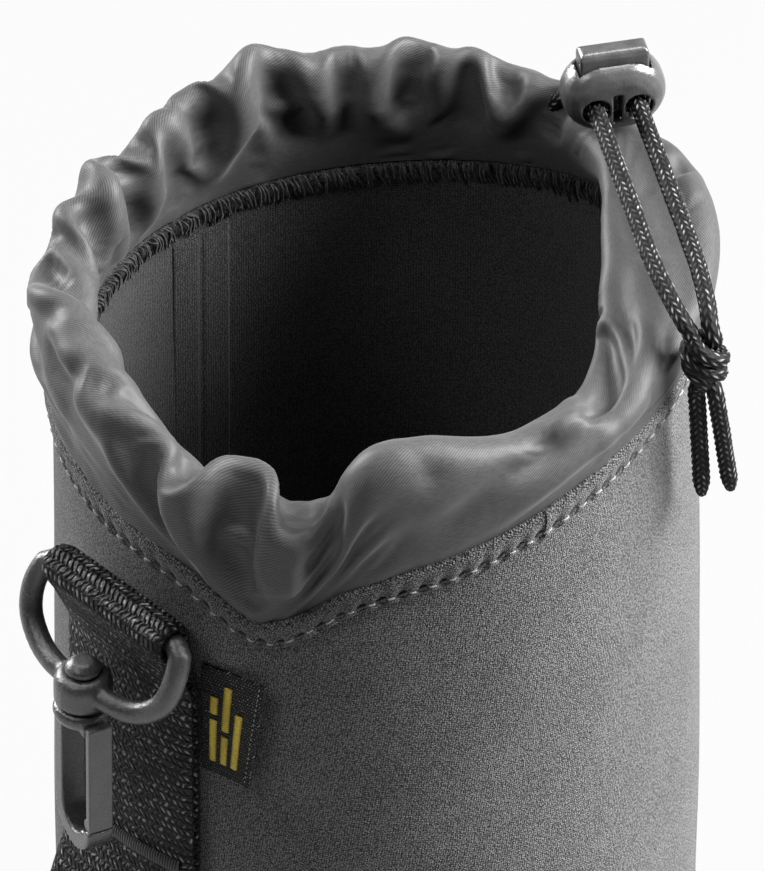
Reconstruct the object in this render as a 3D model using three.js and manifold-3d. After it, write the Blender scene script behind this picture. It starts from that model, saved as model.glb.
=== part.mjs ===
// Soft lens pouch: a padded neoprene tube with a gathered nylon collar, a draw cord with a two-hole cord
// lock, and a webbing strap that carries a plastic swivel snap hook.
// Millimetres, +Z up, origin at the middle of the base's underside. The strap is on the -Y side and the
// cord leaves the collar on the +Y side.

import * as THREE from 'three';
import { mergeVertices } from 'three/addons/utils/BufferGeometryUtils.js';
import Module from 'manifold-3d';

const wasm = await Module();
wasm.setup();

// General
const CLEAR = 0.3; // gap between pieces that touch
const RING_STEPS = 72; // facets round the body

// Neoprene body
const BODY_RADIUS = 55;
const WALL = 5;
const BASE_THICK = 5;
const INNER_RADIUS = BODY_RADIUS - WALL;

// Top edge of the wall: a tilted, saddle-shaped line with a dip where the collar sags over it
const RIM_MEAN = 184.5;
const RIM_TILT = 9.3;
const RIM_TILT_AT = 60; // degrees round from +X, highest side
const RIM_SADDLE = 4.2;
const RIM_SADDLE_AT = 37;
const RIM_DIP = 9.3;
const RIM_DIP_AT = -62;
const RIM_DIP_WIDTH = 12.5;

// Trim sewn to the body
const RIM_BAND_HEIGHT = 5.5;
const RIM_BAND_THICK = 0.8;
const RIM_BAND_JOINT_AT = -11;
const RIM_BAND_JOINT_GAP = 0.5;
const OVERLOCK_THICK = 2;
const RIM_OVERLOCK_HEIGHT = 3.7;
const BASE_OVERLOCK_HEIGHT = 3;
const SEAM_TAPE_AT = 175;
const SEAM_TAPE_WIDTH = 12;
const SEAM_TAPE_THICK = 0.7;

// Nylon collar: a folded sleeve, open towards the rim
const CLOTH = 1.1;
const COLLAR_RISE = 16.5; // mean height above the rim
const COLLAR_TILT = 4.3;
const COLLAR_TILT_AT = 88;
const COLLAR_DIP = 7;
const COLLAR_DIP_AT = -67;
const COLLAR_DIP_WIDTH = 22;
const COLLAR_OUT = BODY_RADIUS + 2.2; // outer bulge
const COLLAR_IN = BODY_RADIUS - 10.5; // inner bulge
const COLLAR_IN_SHIFT = 2.5; // further in on the side that COLLAR_IN_SHIFT_AT names
const COLLAR_IN_SHIFT_AT = 48;
const GATHERS = 12;
const GATHER_OUT = 0.9;
const GATHER_IN = 1.4;
const GATHER_RISE = 0.5;
const GATHER_VALLEY_AT = 20; // degrees, one valley of the gathers

// Draw cord
const CORD_RADIUS = 1.5;
const CORD_SIDES = 8;
const CORD_HOLE_RADIUS = 2.1; // eyelets in the collar
const CASING_STEPS = 76;
const CASING_FROM = 102; // degrees round from +X
const CASING_TO = 453;

// Routes of the free cord, from the collar's eyelets through the lock to the knot, then the cut ends
const STRAND_LEFT = [
  [-9.2, 52.7, 207.9], [-8.8, 53.0, 209.3], [-7.3, 52.7, 211.0], [-5.2, 51.8, 211.9], [-3.3, 50.7, 212.0],
  [0.6, 48.5, 212.0], [4.5, 46.3, 212.0], [11.5, 42.4, 212.0], [18.4, 38.5, 212.0], [25.4, 34.6, 212.0],
  [32.4, 30.7, 212.0], [38.0, 27.5, 212.0], [43.4, 24.9, 211.8], [48.4, 22.8, 211.2], [52.3, 21.5, 210.4],
  [54.9, 20.9, 209.3],
];
const STRAND_RIGHT = [
  [-5.6, 58.6, 206.8], [-5.2, 59.4, 208.3], [-4.0, 59.5, 210.2], [-2.0, 58.5, 211.7], [0.3, 57.1, 212.0],
  [4.2, 54.9, 212.0], [8.1, 52.7, 212.0], [15.1, 48.8, 212.0], [22.1, 44.9, 212.0], [29.0, 41.0, 212.0],
  [36.0, 37.1, 212.0], [41.5, 34.0, 212.0], [46.8, 30.9, 212.0], [51.6, 27.8, 211.8], [55.2, 25.4, 211.0],
  [57.2, 23.9, 209.5],
];
const TAIL_LEFT = [
  [56.1, 22.0, 197.3], [55.9, 22.4, 193.0], [55.5, 23.1, 187.0], [55.0, 24.0, 180.0], [54.6, 24.7, 174.0],
  [54.4, 25.0, 170.0],
];
const TAIL_RIGHT = [
  [58.6, 23.7, 197.3], [58.7, 24.4, 193.0], [58.5, 25.6, 187.0], [58.1, 27.0, 180.0], [57.7, 28.3, 174.0],
  [57.5, 28.9, 171.0],
];
// Last stretch of the cord inside the collar, up through each eyelet
const EYELET_LEFT = [[-10.2, 51.1, 203.6], [-9.6, 52.2, 205.4], [-9.3, 52.6, 207.3]];
const EYELET_RIGHT = [[-4.6, 54.4, 202.8], [-5.4, 56.7, 203.9], [-5.7, 58.1, 206.0]];
const KNOT_CENTRE = [57.0, 23.0, 203.3];
const KNOT_HALF = [4.5, 5.8, 5.2]; // radial, tangential, vertical
const KNOT_TURN = 22; // degrees, faces out from the body here

// Cord lock
const LOCK_CENTRE = [2.4, 51.7, 212]; // midway between both holes
const LOCK_TURN = 60.7; // degrees from +X to the line through both holes
const LOCK_WIDTH = 18;
const LOCK_DEPTH = 9;
const LOCK_HEIGHT = 14;
const LOCK_HOLE_DROP = 1.4; // holes below the barrel's middle
const LOCK_EDGE = 3.5; // rounding of its front and back edges
const LOCK_HOLE_RADIUS = 2.5;
const LOCK_HOLE_OFFSET = 3.7;
const LOCK_FLOOR = 1.4;
const LOCK_CAVITY_WIDTH = 12.6;
const LOCK_CAVITY_DEPTH = 4.6;
const LOCK_WINDOW_WIDTH = 1.6;
const LOCK_WINDOW_HEIGHT = 6;
const BUTTON_TRAVEL = 1.5;
const BUTTON_RISE = 2; // above the barrel
const BUTTON_CORNER = 1.2; // rounding of its top, seen from the front
const BUTTON_EDGE = 1.3; // rounding of its top, seen from the side
const BUTTON_LAND = 0.6; // plunger material below the cord slots
const SPRING_COIL_RADIUS = 0.95;
const SPRING_WIRE_RADIUS = 0.24;
const SPRING_TURNS = 5;
const SPRING_POCKET_WIDTH = 3;
const SPRING_POCKET_TOP = 2.2; // above the cord's middle

// Webbing strap
const WEB_WIDTH = 30;
const WEB_THICK = 1.5;
const WEB_STEPS = 6;
const BAR_HEIGHT = 160; // the eye's bar, over which the strap is looped
const LOOP_LENGTH = 13; // from the bar down to the sewn layers
const SEWN_LENGTH = 41;
const BELT_LOOP_LENGTH = 66;
const STRAP_END = 12; // sewn down below the belt loop
const SEWN_TOP = BAR_HEIGHT - LOOP_LENGTH;
const BELT_TACK_HIGH = SEWN_TOP - SEWN_LENGTH;
const BELT_TACK_LOW = BELT_TACK_HIGH - BELT_LOOP_LENGTH;
const STRAP_BOTTOM = BELT_TACK_LOW - STRAP_END;
const BELT_GAP = 7; // free depth behind the belt loop
const TACK_HEIGHT = 3;
const TACK_WIDTH = 26;
const TACK_THICK = 0.6;

// Swivel eye
const BAR_RADIUS = 2.1;
const BAR_CLEAR = 0.35;
const EYE_HALF_WIDTH = WEB_WIDTH / 2 + 2.8;
const RING_RADIUS = 5.1; // ring that carries the hook's post
const RING_HEIGHT = 6.2;
const RING_DROP = 17; // from the bar down to the ring's lower face
const RING_LOW = BAR_HEIGHT - RING_DROP;
const POST_RADIUS = 2.05;
const POST_CLEAR = 0.3;
const HEAD_RADIUS = 3.2;
const HEAD_HEIGHT = 2.2;

// Snap hook, drawn with its slot top at height zero
const HOOK_SHOULDER = 3;
const HOOK_TOP = RING_LOW - HOOK_SHOULDER;
const HOOK_TURN = -17; // degrees
const HOOK_HALF_WIDTH = 7;
const HOOK_THICK = 4.7;
const HOOK_SPINE = 3;
const HOOK_SPIN = 7.6; // room that the hook needs as it turns on its post
const HOOK_BEND_HEIGHT = -20; // where the lower bend starts
const HOOK_BEND_DEPTH = 8;
const HOOK_BEND_WALL = 3.3;
const SHOULDER_RADIUS = 5.3;
const SHOULDER_DROP = 1;
const GATE_THICK = 1.4;
const GATE_PIVOT_DROP = 1; // below the slot top
const GATE_RISE = 1.6; // root above the slot top
const GATE_KNOB_RADIUS = 1.1;
const NOSE_GAP = 0.35;

// Folded label sewn under the strap's edge
const LABEL_WIDTH = 11;
const LABEL_HEIGHT = 23;
const LABEL_DROP = 18.5; // from the bar down to the label's middle
const LABEL_MIDDLE = BAR_HEIGHT - LABEL_DROP;
const LABEL_THICK = 0.8;

const rad = THREE.MathUtils.degToRad;

// A smooth bump of height one round the given angle
const bump = (angle, middle, width) => {
  const turn = THREE.MathUtils.euclideanModulo(angle - rad(middle) + Math.PI, 2 * Math.PI) - Math.PI;
  return Math.exp(-((turn / rad(width)) ** 2));
};

const rimHeight = (angle) => {
  const dip = RIM_DIP * bump(angle, RIM_DIP_AT, RIM_DIP_WIDTH);
  const tilt = RIM_TILT * Math.cos(angle - rad(RIM_TILT_AT));
  const saddle = RIM_SADDLE * Math.cos(2 * (angle - rad(RIM_SADDLE_AT)));
  return RIM_MEAN + tilt + saddle - dip;
};

const gather = (angle) => -Math.cos(GATHERS * (angle - rad(GATHER_VALLEY_AT)));

const collarTop = (angle) => {
  const tilt = COLLAR_TILT * Math.cos(angle - rad(COLLAR_TILT_AT));
  const dip = COLLAR_DIP * bump(angle, COLLAR_DIP_AT, COLLAR_DIP_WIDTH);
  return RIM_MEAN + COLLAR_RISE + tilt - dip + GATHER_RISE * gather(angle);
};

const collarOut = (angle) => COLLAR_OUT + GATHER_OUT * gather(angle);

const collarIn = (angle) =>
  COLLAR_IN - COLLAR_IN_SHIFT * Math.cos(angle - rad(COLLAR_IN_SHIFT_AT)) - GATHER_IN * gather(angle);

// The crown of the collar's fold, where the cord runs
const collarCrown = (angle) => 0.6 * collarOut(angle) + 0.4 * collarIn(angle);

// Solids from triangles, and booleans on them
function geometryFrom(positions, indices) {
  const geometry = new THREE.BufferGeometry();
  geometry.setAttribute('position', new THREE.Float32BufferAttribute(positions, 3));
  geometry.setIndex(indices);
  return geometry;
}

function solidOf(geometry) {
  const bare = geometry.clone();
  bare.deleteAttribute('normal');
  bare.deleteAttribute('uv');
  const merged = mergeVertices(bare, 1e-4);
  const vertProperties = Float32Array.from(merged.attributes.position.array);
  const triVerts = Uint32Array.from(merged.index.array);
  return new wasm.Manifold(new wasm.Mesh({ numProp: 3, vertProperties, triVerts }));
}

function geometryOf(solid) {
  const mesh = solid.getMesh();
  return geometryFrom(Array.from(mesh.vertProperties), Array.from(mesh.triVerts));
}

const cut = (geometry, ...tools) =>
  geometryOf(tools.reduce((solid, tool) => solid.subtract(solidOf(tool)), solidOf(geometry)));

const meet = (first, second) => geometryOf(solidOf(first).intersect(solidOf(second)));

const join = (first, ...others) =>
  geometryOf(others.reduce((solid, other) => solid.add(solidOf(other)), solidOf(first)));

// A section in radius and height, counter-clockwise, carried round the Z axis
function sweep(sectionAt, from = 0, to = 2 * Math.PI, steps = RING_STEPS) {
  const closed = to - from > 2 * Math.PI - 1e-6;
  const rings = closed ? steps : steps + 1;
  const positions = [];
  for (let j = 0; j < rings; j += 1) {
    const angle = from + ((to - from) * j) / steps;
    for (const [r, z] of sectionAt(angle)) {
      positions.push(r * Math.cos(angle), r * Math.sin(angle), z);
    }
  }
  const count = sectionAt(from).length;
  const indices = [];
  for (let j = 0; j < steps; j += 1) {
    const here = j * count;
    const next = ((j + 1) % rings) * count;
    for (let i = 0; i < count; i += 1) {
      const k = (i + 1) % count;
      indices.push(here + i, next + i, here + k, here + k, next + i, next + k);
    }
  }
  if (!closed) {
    const outline = sectionAt(from).map(([r, z]) => new THREE.Vector2(r, z));
    const last = (rings - 1) * count;
    for (const [a, b, c] of THREE.ShapeUtils.triangulateShape(outline, [])) {
      indices.push(a, b, c, last + a, last + c, last + b);
    }
  }
  return geometryFrom(positions, indices);
}

const box = (r0, r1, z0, z1) => [[r0, z0], [r1, z0], [r1, z1], [r0, z1]];

// A line of points given a thickness, as a counter-clockwise outline with level ends
function thicken(line, thickness) {
  const last = line.length - 1;
  const offset = (side) =>
    line.map(([r, z], i) => {
      const reach = (side * thickness) / 2;
      const [r0, z0] = line[Math.max(i - 1, 0)];
      const [r1, z1] = line[Math.min(i + 1, last)];
      const atEnd = i === 0 || i === last;
      const length = atEnd ? Math.abs(z1 - z0) : Math.hypot(r1 - r0, z1 - z0);
      const lean = atEnd ? 0 : (reach * (r1 - r0)) / length;
      return [r + (reach * (z1 - z0)) / length, z - lean];
    });
  return [...offset(1), ...offset(-1).reverse()];
}

function roundShape(radius, sides) {
  const shape = new THREE.Shape();
  for (let i = 0; i < sides; i += 1) {
    const angle = (2 * Math.PI * i) / sides;
    const place = [radius * Math.cos(angle), radius * Math.sin(angle)];
    if (i === 0) shape.moveTo(...place);
    else shape.lineTo(...place);
  }
  shape.closePath();
  return shape;
}

const curveThrough = (points) =>
  new THREE.CatmullRomCurve3(points.map((place) => new THREE.Vector3(...place)), false, 'centripetal');

const tube = (points, radius, sides, steps) =>
  new THREE.ExtrudeGeometry(roundShape(radius, sides), { steps, extrudePath: curveThrough(points) });

const block = (width, depth, height, x, y, z) =>
  new THREE.BoxGeometry(width, depth, height).translate(x, y, z);

// A block over the origin in X and Y, between two heights
const upright = (width, depth, low, high, x = 0) => block(width, depth, high - low, x, 0, (low + high) / 2);

const turned = (profile, sides) =>
  new THREE.LatheGeometry(profile.map((place) => new THREE.Vector2(...place)), sides).rotateX(Math.PI / 2);

// Body pieces
const bodyWall = () =>
  sweep((angle) => box(INNER_RADIUS, BODY_RADIUS, BASE_THICK + CLEAR, rimHeight(angle)));

const baseDisc = () =>
  new THREE.CylinderGeometry(BODY_RADIUS, BODY_RADIUS, BASE_THICK, RING_STEPS)
    .rotateX(Math.PI / 2)
    .translate(0, 0, BASE_THICK / 2);

const baseOverlock = () => {
  const out = INNER_RADIUS - CLEAR;
  const low = BASE_THICK + CLEAR;
  return sweep(() => box(out - OVERLOCK_THICK, out, low, low + BASE_OVERLOCK_HEIGHT));
};

const rimOverlock = () => {
  const out = INNER_RADIUS - CLEAR;
  return sweep((angle) => {
    const top = rimHeight(angle) - CLEAR;
    return box(out - OVERLOCK_THICK, out, top - RIM_OVERLOCK_HEIGHT, top);
  });
};

const rimBand = () => {
  const inside = BODY_RADIUS + CLEAR;
  const half = RIM_BAND_JOINT_GAP / 2 / BODY_RADIUS;
  const start = rad(RIM_BAND_JOINT_AT) + half;
  return sweep(
    (angle) => box(inside, inside + RIM_BAND_THICK, rimHeight(angle) - RIM_BAND_HEIGHT, rimHeight(angle)),
    start,
    start + 2 * (Math.PI - half),
  );
};

const seamTape = () => {
  const out = INNER_RADIUS - CLEAR;
  const half = SEAM_TAPE_WIDTH / 2 / out;
  const low = BASE_THICK + BASE_OVERLOCK_HEIGHT + 2 * CLEAR;
  return sweep(
    (angle) => box(out - SEAM_TAPE_THICK, out, low, rimHeight(angle) - RIM_OVERLOCK_HEIGHT - 2 * CLEAR),
    rad(SEAM_TAPE_AT) - half,
    rad(SEAM_TAPE_AT) + half,
    4,
  );
};

// Collar: outer layer up from the rim, over the crown and down the inside
function collarLine(angle) {
  const low = rimHeight(angle) + CLEAR;
  const top = collarTop(angle);
  const rise = top - low;
  const out = collarOut(angle);
  const inside = collarIn(angle);
  const crown = collarCrown(angle);
  return [
    [BODY_RADIUS - CLOTH, low],
    [out - CLOTH / 2, low + 0.35 * rise],
    [out, low + 0.68 * rise],
    [crown + 2.6, top],
    [crown - 2.6, top],
    [inside, low + 0.72 * rise],
    [inside + 2, low + 0.4 * rise],
    [INNER_RADIUS + CLOTH, low],
  ];
}

const eyeletTool = (points) => tube(points, CORD_HOLE_RADIUS, CORD_SIDES, 8);

const collar = () =>
  cut(sweep((angle) => thicken(collarLine(angle), CLOTH)), eyeletTool(EYELET_LEFT), eyeletTool(EYELET_RIGHT));

// Cord
function casingPoints() {
  const points = [];
  const drop = CLOTH / 2 + CLEAR + CORD_RADIUS + GATHER_RISE;
  for (let i = 0; i <= CASING_STEPS; i += 1) {
    const angle = rad(CASING_FROM + ((CASING_TO - CASING_FROM) * i) / CASING_STEPS);
    const r = collarCrown(angle);
    points.push([r * Math.cos(angle), r * Math.sin(angle), collarTop(angle) - drop]);
  }
  return points;
}

const casingCord = () =>
  tube(
    [...EYELET_LEFT.toReversed(), ...casingPoints(), ...EYELET_RIGHT],
    CORD_RADIUS,
    CORD_SIDES,
    CASING_STEPS,
  );

const cordStretch = (points, steps) => tube(points, CORD_RADIUS, CORD_SIDES, steps);

const cordKnot = () =>
  new THREE.SphereGeometry(1, 14, 9)
    .scale(...KNOT_HALF)
    .rotateZ(rad(KNOT_TURN))
    .translate(...KNOT_CENTRE);

// Cord lock, drawn about the middle of its holes: X along the line of both holes, Y along them, Z up
function stadium(width, depth) {
  const shape = new THREE.Shape();
  const reach = (width - depth) / 2;
  shape.absarc(reach, 0, depth / 2, -Math.PI / 2, Math.PI / 2, false);
  shape.absarc(-reach, 0, depth / 2, Math.PI / 2, (3 * Math.PI) / 2, false);
  return shape;
}

const lockFloor = LOCK_HOLE_DROP - LOCK_HEIGHT / 2 + LOCK_FLOOR;

const holeAlongY = (radius, x) =>
  new THREE.CylinderGeometry(radius, radius, 2 * LOCK_DEPTH, 16).translate(x, 0, 0);

function lockBarrel() {
  const flatDepth = LOCK_DEPTH - 2 * LOCK_EDGE;
  const shell = new THREE.ExtrudeGeometry(stadium(LOCK_WIDTH - 2 * LOCK_EDGE, LOCK_HEIGHT - 2 * LOCK_EDGE), {
    depth: flatDepth,
    curveSegments: 10,
    bevelSize: LOCK_EDGE,
    bevelThickness: LOCK_EDGE,
    bevelSegments: 4,
  })
    .translate(0, 0, -flatDepth / 2)
    .rotateX(Math.PI / 2)
    .translate(0, 0, LOCK_HOLE_DROP);
  const cavity = block(LOCK_CAVITY_WIDTH, LOCK_CAVITY_DEPTH, LOCK_HEIGHT, 0, 0, lockFloor + LOCK_HEIGHT / 2);
  const windowCut = block(LOCK_WINDOW_WIDTH, LOCK_DEPTH, LOCK_WINDOW_HEIGHT, 0, -LOCK_DEPTH / 2, 0);
  return cut(
    shell,
    cavity,
    windowCut,
    holeAlongY(LOCK_HOLE_RADIUS, LOCK_HOLE_OFFSET),
    holeAlongY(LOCK_HOLE_RADIUS, -LOCK_HOLE_OFFSET),
  );
}

// A rectangle with both upper corners rounded
function roundTopped(half, low, top, corner) {
  const outline = new THREE.Shape();
  outline.moveTo(-half, low);
  outline.lineTo(half, low);
  outline.absarc(half - corner, top - corner, corner, 0, Math.PI / 2, false);
  outline.absarc(-half + corner, top - corner, corner, Math.PI / 2, Math.PI, false);
  outline.closePath();
  return outline;
}

// A section in X and height, drawn out evenly to both sides of Y = 0
const drawnOut = (outline, depth) =>
  new THREE.ExtrudeGeometry(outline, { depth, bevelEnabled: false, curveSegments: 4 })
    .translate(0, 0, -depth / 2)
    .rotateX(Math.PI / 2);

function lockButton() {
  const width = LOCK_CAVITY_WIDTH - 2 * CLEAR;
  const depth = LOCK_CAVITY_DEPTH - 2 * CLEAR;
  const slotLow = -CORD_RADIUS - CLEAR;
  const slotHigh = CORD_RADIUS + CLEAR + BUTTON_TRAVEL;
  const low = slotLow - BUTTON_LAND;
  const top = LOCK_HOLE_DROP + LOCK_HEIGHT / 2 + BUTTON_RISE;
  const front = drawnOut(roundTopped(width / 2, low, top, BUTTON_CORNER), depth);
  const side = drawnOut(roundTopped(depth / 2, low, top, BUTTON_EDGE), width).rotateZ(Math.PI / 2);
  const plunger = meet(front, side);
  const slot = (x) => upright(2 * (CORD_RADIUS + CLEAR), 2 * depth, slotLow, slotHigh, x);
  const pocket = upright(SPRING_POCKET_WIDTH, 2 * depth, low - 1, SPRING_POCKET_TOP);
  return cut(plunger, slot(LOCK_HOLE_OFFSET), slot(-LOCK_HOLE_OFFSET), pocket);
}

// A helix closed at both ends, with the least gap between its turns printed
function lockSpring() {
  const stepsPerTurn = 8;
  const sides = 5;
  const low = lockFloor + CLEAR + SPRING_WIRE_RADIUS;
  const high = SPRING_POCKET_TOP - CLEAR - SPRING_WIRE_RADIUS;
  const steps = stepsPerTurn * SPRING_TURNS;
  const positions = [];
  const middles = [];
  for (let j = 0; j <= steps; j += 1) {
    const angle = (2 * Math.PI * j) / stepsPerTurn;
    const middle = low + ((high - low) * j) / steps;
    middles.push(new THREE.Vector3().setFromCylindricalCoords(SPRING_COIL_RADIUS, angle, middle));
    for (let i = 0; i < sides; i += 1) {
      const around = (2 * Math.PI * i) / sides;
      const r = SPRING_COIL_RADIUS + SPRING_WIRE_RADIUS * Math.cos(around);
      const z = middle + SPRING_WIRE_RADIUS * Math.sin(around);
      positions.push(r * Math.cos(angle), r * Math.sin(angle), z);
    }
  }
  const indices = [];
  for (let j = 0; j < steps; j += 1) {
    for (let i = 0; i < sides; i += 1) {
      const k = (i + 1) % sides;
      const here = j * sides;
      const next = here + sides;
      indices.push(here + i, next + i, here + k, here + k, next + i, next + k);
    }
  }
  for (let i = 1; i + 1 < sides; i += 1) {
    const last = steps * sides;
    indices.push(0, i, i + 1, last, last + i + 1, last + i);
  }
  let gap = Infinity;
  for (let a = 0; a < middles.length; a += 1) {
    for (let b = a + stepsPerTurn / 2; b < middles.length; b += 1) {
      gap = Math.min(gap, middles[a].distanceTo(middles[b]) - 2 * SPRING_WIRE_RADIUS);
    }
  }
  console.log(`lock_spring: least gap between turns ${gap.toFixed(2)} mm`);
  return geometryFrom(positions, indices);
}

// Strap: a ribbon drawn by its distance from the body and its height, then laid round the body
const loopRadius = BAR_RADIUS + BAR_CLEAR + WEB_THICK / 2;
const backLayer = CLEAR + WEB_THICK / 2;
const frontLayer = backLayer + WEB_THICK + CLEAR;
const barDistance = backLayer + loopRadius;
const BAR_Y = -(BODY_RADIUS + barDistance);
const SWIVEL_Y = -(BODY_RADIUS + frontLayer + WEB_THICK / 2 + CLEAR + HOOK_SPIN);

function strapLine() {
  const line = [[backLayer, STRAP_BOTTOM], [backLayer, BELT_TACK_LOW], [backLayer, BELT_TACK_HIGH]];
  line.push([backLayer, SEWN_TOP]);
  const arcSteps = 12;
  for (let i = 0; i <= arcSteps; i += 1) {
    const angle = (Math.PI * i) / arcSteps;
    line.push([barDistance - loopRadius * Math.cos(angle), BAR_HEIGHT + loopRadius * Math.sin(angle)]);
  }
  line.push([frontLayer + 0.6, SEWN_TOP + 3], [frontLayer, SEWN_TOP]);
  const bulgeSteps = 12;
  for (let i = 0; i <= bulgeSteps; i += 1) {
    const share = i / bulgeSteps;
    const swell = BELT_GAP * Math.sin(Math.PI * share) ** 1.5;
    line.push([frontLayer + swell, BELT_TACK_HIGH + (BELT_TACK_LOW - BELT_TACK_HIGH) * share]);
  }
  line.push([frontLayer, STRAP_BOTTOM]);
  return line;
}

// Webbing follows the round body where it lies on it, and is straight across round the bar and the belt loop
function layRoundBody(geometry) {
  const place = geometry.attributes.position;
  for (let i = 0; i < place.count; i += 1) {
    const x = place.getX(i);
    const away = -place.getY(i) - BODY_RADIUS;
    const z = place.getZ(i);
    const nearBody = 1 - THREE.MathUtils.smoothstep(away, frontLayer + WEB_THICK, frontLayer + BELT_GAP);
    const belowLoop = 1 - THREE.MathUtils.smoothstep(z, SEWN_TOP - 1, BAR_HEIGHT - loopRadius - WEB_THICK);
    const share = nearBody * belowLoop;
    const r = BODY_RADIUS + away;
    const turn = x / BODY_RADIUS;
    place.setXYZ(
      i,
      THREE.MathUtils.lerp(x, r * Math.sin(turn), share),
      THREE.MathUtils.lerp(-r, -r * Math.cos(turn), share),
      z,
    );
  }
  return geometry;
}

// An outline in distance from the body and height, carried across the strap's width
function acrossStrap(outline, width) {
  const shape = new THREE.Shape(outline.map(([away, z]) => new THREE.Vector2(away, z)));
  const ribbon = new THREE.ExtrudeGeometry(shape, { depth: width, steps: WEB_STEPS, bevelEnabled: false });
  const basis = new THREE.Matrix4().makeBasis(
    new THREE.Vector3(0, -1, 0),
    new THREE.Vector3(0, 0, 1),
    new THREE.Vector3(-1, 0, 0),
  );
  ribbon.applyMatrix4(basis).translate(width / 2, -BODY_RADIUS, 0);
  return layRoundBody(ribbon);
}

const strap = () => acrossStrap(thicken(strapLine(), WEB_THICK), WEB_WIDTH);

const bartack = (middle) => {
  const low = frontLayer + WEB_THICK / 2 + CLEAR;
  const half = TACK_HEIGHT / 2;
  return acrossStrap(box(low, low + TACK_THICK, middle - half, middle + half), TACK_WIDTH);
};

const wovenLabel = () => {
  const inside = BODY_RADIUS + CLEAR;
  const start = -Math.PI / 2 + WEB_WIDTH / 2 / BODY_RADIUS + CLEAR / BODY_RADIUS;
  const low = LABEL_MIDDLE - LABEL_HEIGHT / 2;
  return sweep(
    () => box(inside, inside + LABEL_THICK, low, low + LABEL_HEIGHT),
    start,
    start + LABEL_WIDTH / BODY_RADIUS,
    6,
  );
};

// Swivel eye: a bent rod from the ring's left side, up through the strap's loop and back to its right side
function swivelEye() {
  const ringMiddle = RING_LOW + RING_HEIGHT / 2;
  const at = (x, share) => [
    x,
    THREE.MathUtils.lerp(SWIVEL_Y, BAR_Y, share[0]),
    THREE.MathUtils.lerp(ringMiddle, BAR_HEIGHT, share[1]),
  ];
  const arm = [
    at(RING_RADIUS - BAR_RADIUS / 2, [0, 0]),
    at(RING_RADIUS + BAR_RADIUS, [0.03, 0]),
    at(0.7 * EYE_HALF_WIDTH, [0.2, 0.06]),
    at(0.94 * EYE_HALF_WIDTH, [0.42, 0.32]),
    at(EYE_HALF_WIDTH, [0.66, 0.65]),
    at(0.96 * EYE_HALF_WIDTH, [0.92, 0.92]),
    at(WEB_WIDTH / 2 + 4 * CLEAR, [1, 1]),
  ];
  const mirrored = arm.map(([x, y, z]) => [-x, y, z]);
  const bar = [-2, -1, 0, 1, 2].map((step) => [(step * WEB_WIDTH) / 6, BAR_Y, BAR_HEIGHT]);
  const rod = tube([...mirrored, ...bar, ...arm.toReversed()], BAR_RADIUS, 10, 48);
  const hole = POST_RADIUS + POST_CLEAR;
  const ring = turned(
    [
      [hole, RING_LOW],
      [RING_RADIUS - 0.6, RING_LOW],
      [RING_RADIUS, RING_LOW + 0.6],
      [RING_RADIUS, RING_LOW + RING_HEIGHT - 1.8],
      [RING_RADIUS - 0.5, RING_LOW + RING_HEIGHT - 0.6],
      [RING_RADIUS - 1.3, RING_LOW + RING_HEIGHT],
      [hole, RING_LOW + RING_HEIGHT],
      [hole, RING_LOW],
    ],
    24,
  ).translate(0, SWIVEL_Y, 0);
  return join(rod, ring);
}

// Snap hook in its own frame: X from the spine to the gate, Y through its thickness, Z up
const gateOut = HOOK_HALF_WIDTH;
const gateIn = gateOut - GATE_THICK;
const slotLeft = -HOOK_HALF_WIDTH + HOOK_SPINE;
const noseTop = HOOK_BEND_HEIGHT - 1.3;

function acrossHook(shape, thickness) {
  const options = { depth: thickness, bevelEnabled: false, curveSegments: 14 };
  return new THREE.ExtrudeGeometry(shape, options).rotateX(Math.PI / 2).translate(0, thickness / 2, 0);
}

function hookShape() {
  const bridgeTop = 2;
  const shape = new THREE.Shape();
  shape.moveTo(-HOOK_HALF_WIDTH, bridgeTop - 1.5);
  shape.lineTo(-HOOK_HALF_WIDTH, HOOK_BEND_HEIGHT);
  shape.absellipse(0, HOOK_BEND_HEIGHT, HOOK_HALF_WIDTH, HOOK_BEND_DEPTH, Math.PI, 2 * Math.PI - 0.16, false);
  shape.lineTo(gateIn - 0.2, noseTop);
  shape.lineTo(gateIn - 1.4, noseTop - 1.2);
  const inX = HOOK_HALF_WIDTH - HOOK_SPINE;
  const inZ = HOOK_BEND_DEPTH - HOOK_BEND_WALL;
  shape.absellipse(0, HOOK_BEND_HEIGHT, inX, inZ, 2 * Math.PI - 0.55, Math.PI, true);
  shape.lineTo(slotLeft, -2);
  shape.lineTo(slotLeft + 1, -GATE_PIVOT_DROP);
  shape.lineTo(gateIn - CLEAR, -GATE_PIVOT_DROP);
  shape.lineTo(gateIn - CLEAR, bridgeTop - 1);
  shape.lineTo(gateIn - 1.2, bridgeTop);
  shape.lineTo(-HOOK_HALF_WIDTH + 1.5, bridgeTop);
  shape.closePath();
  return shape;
}

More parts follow.
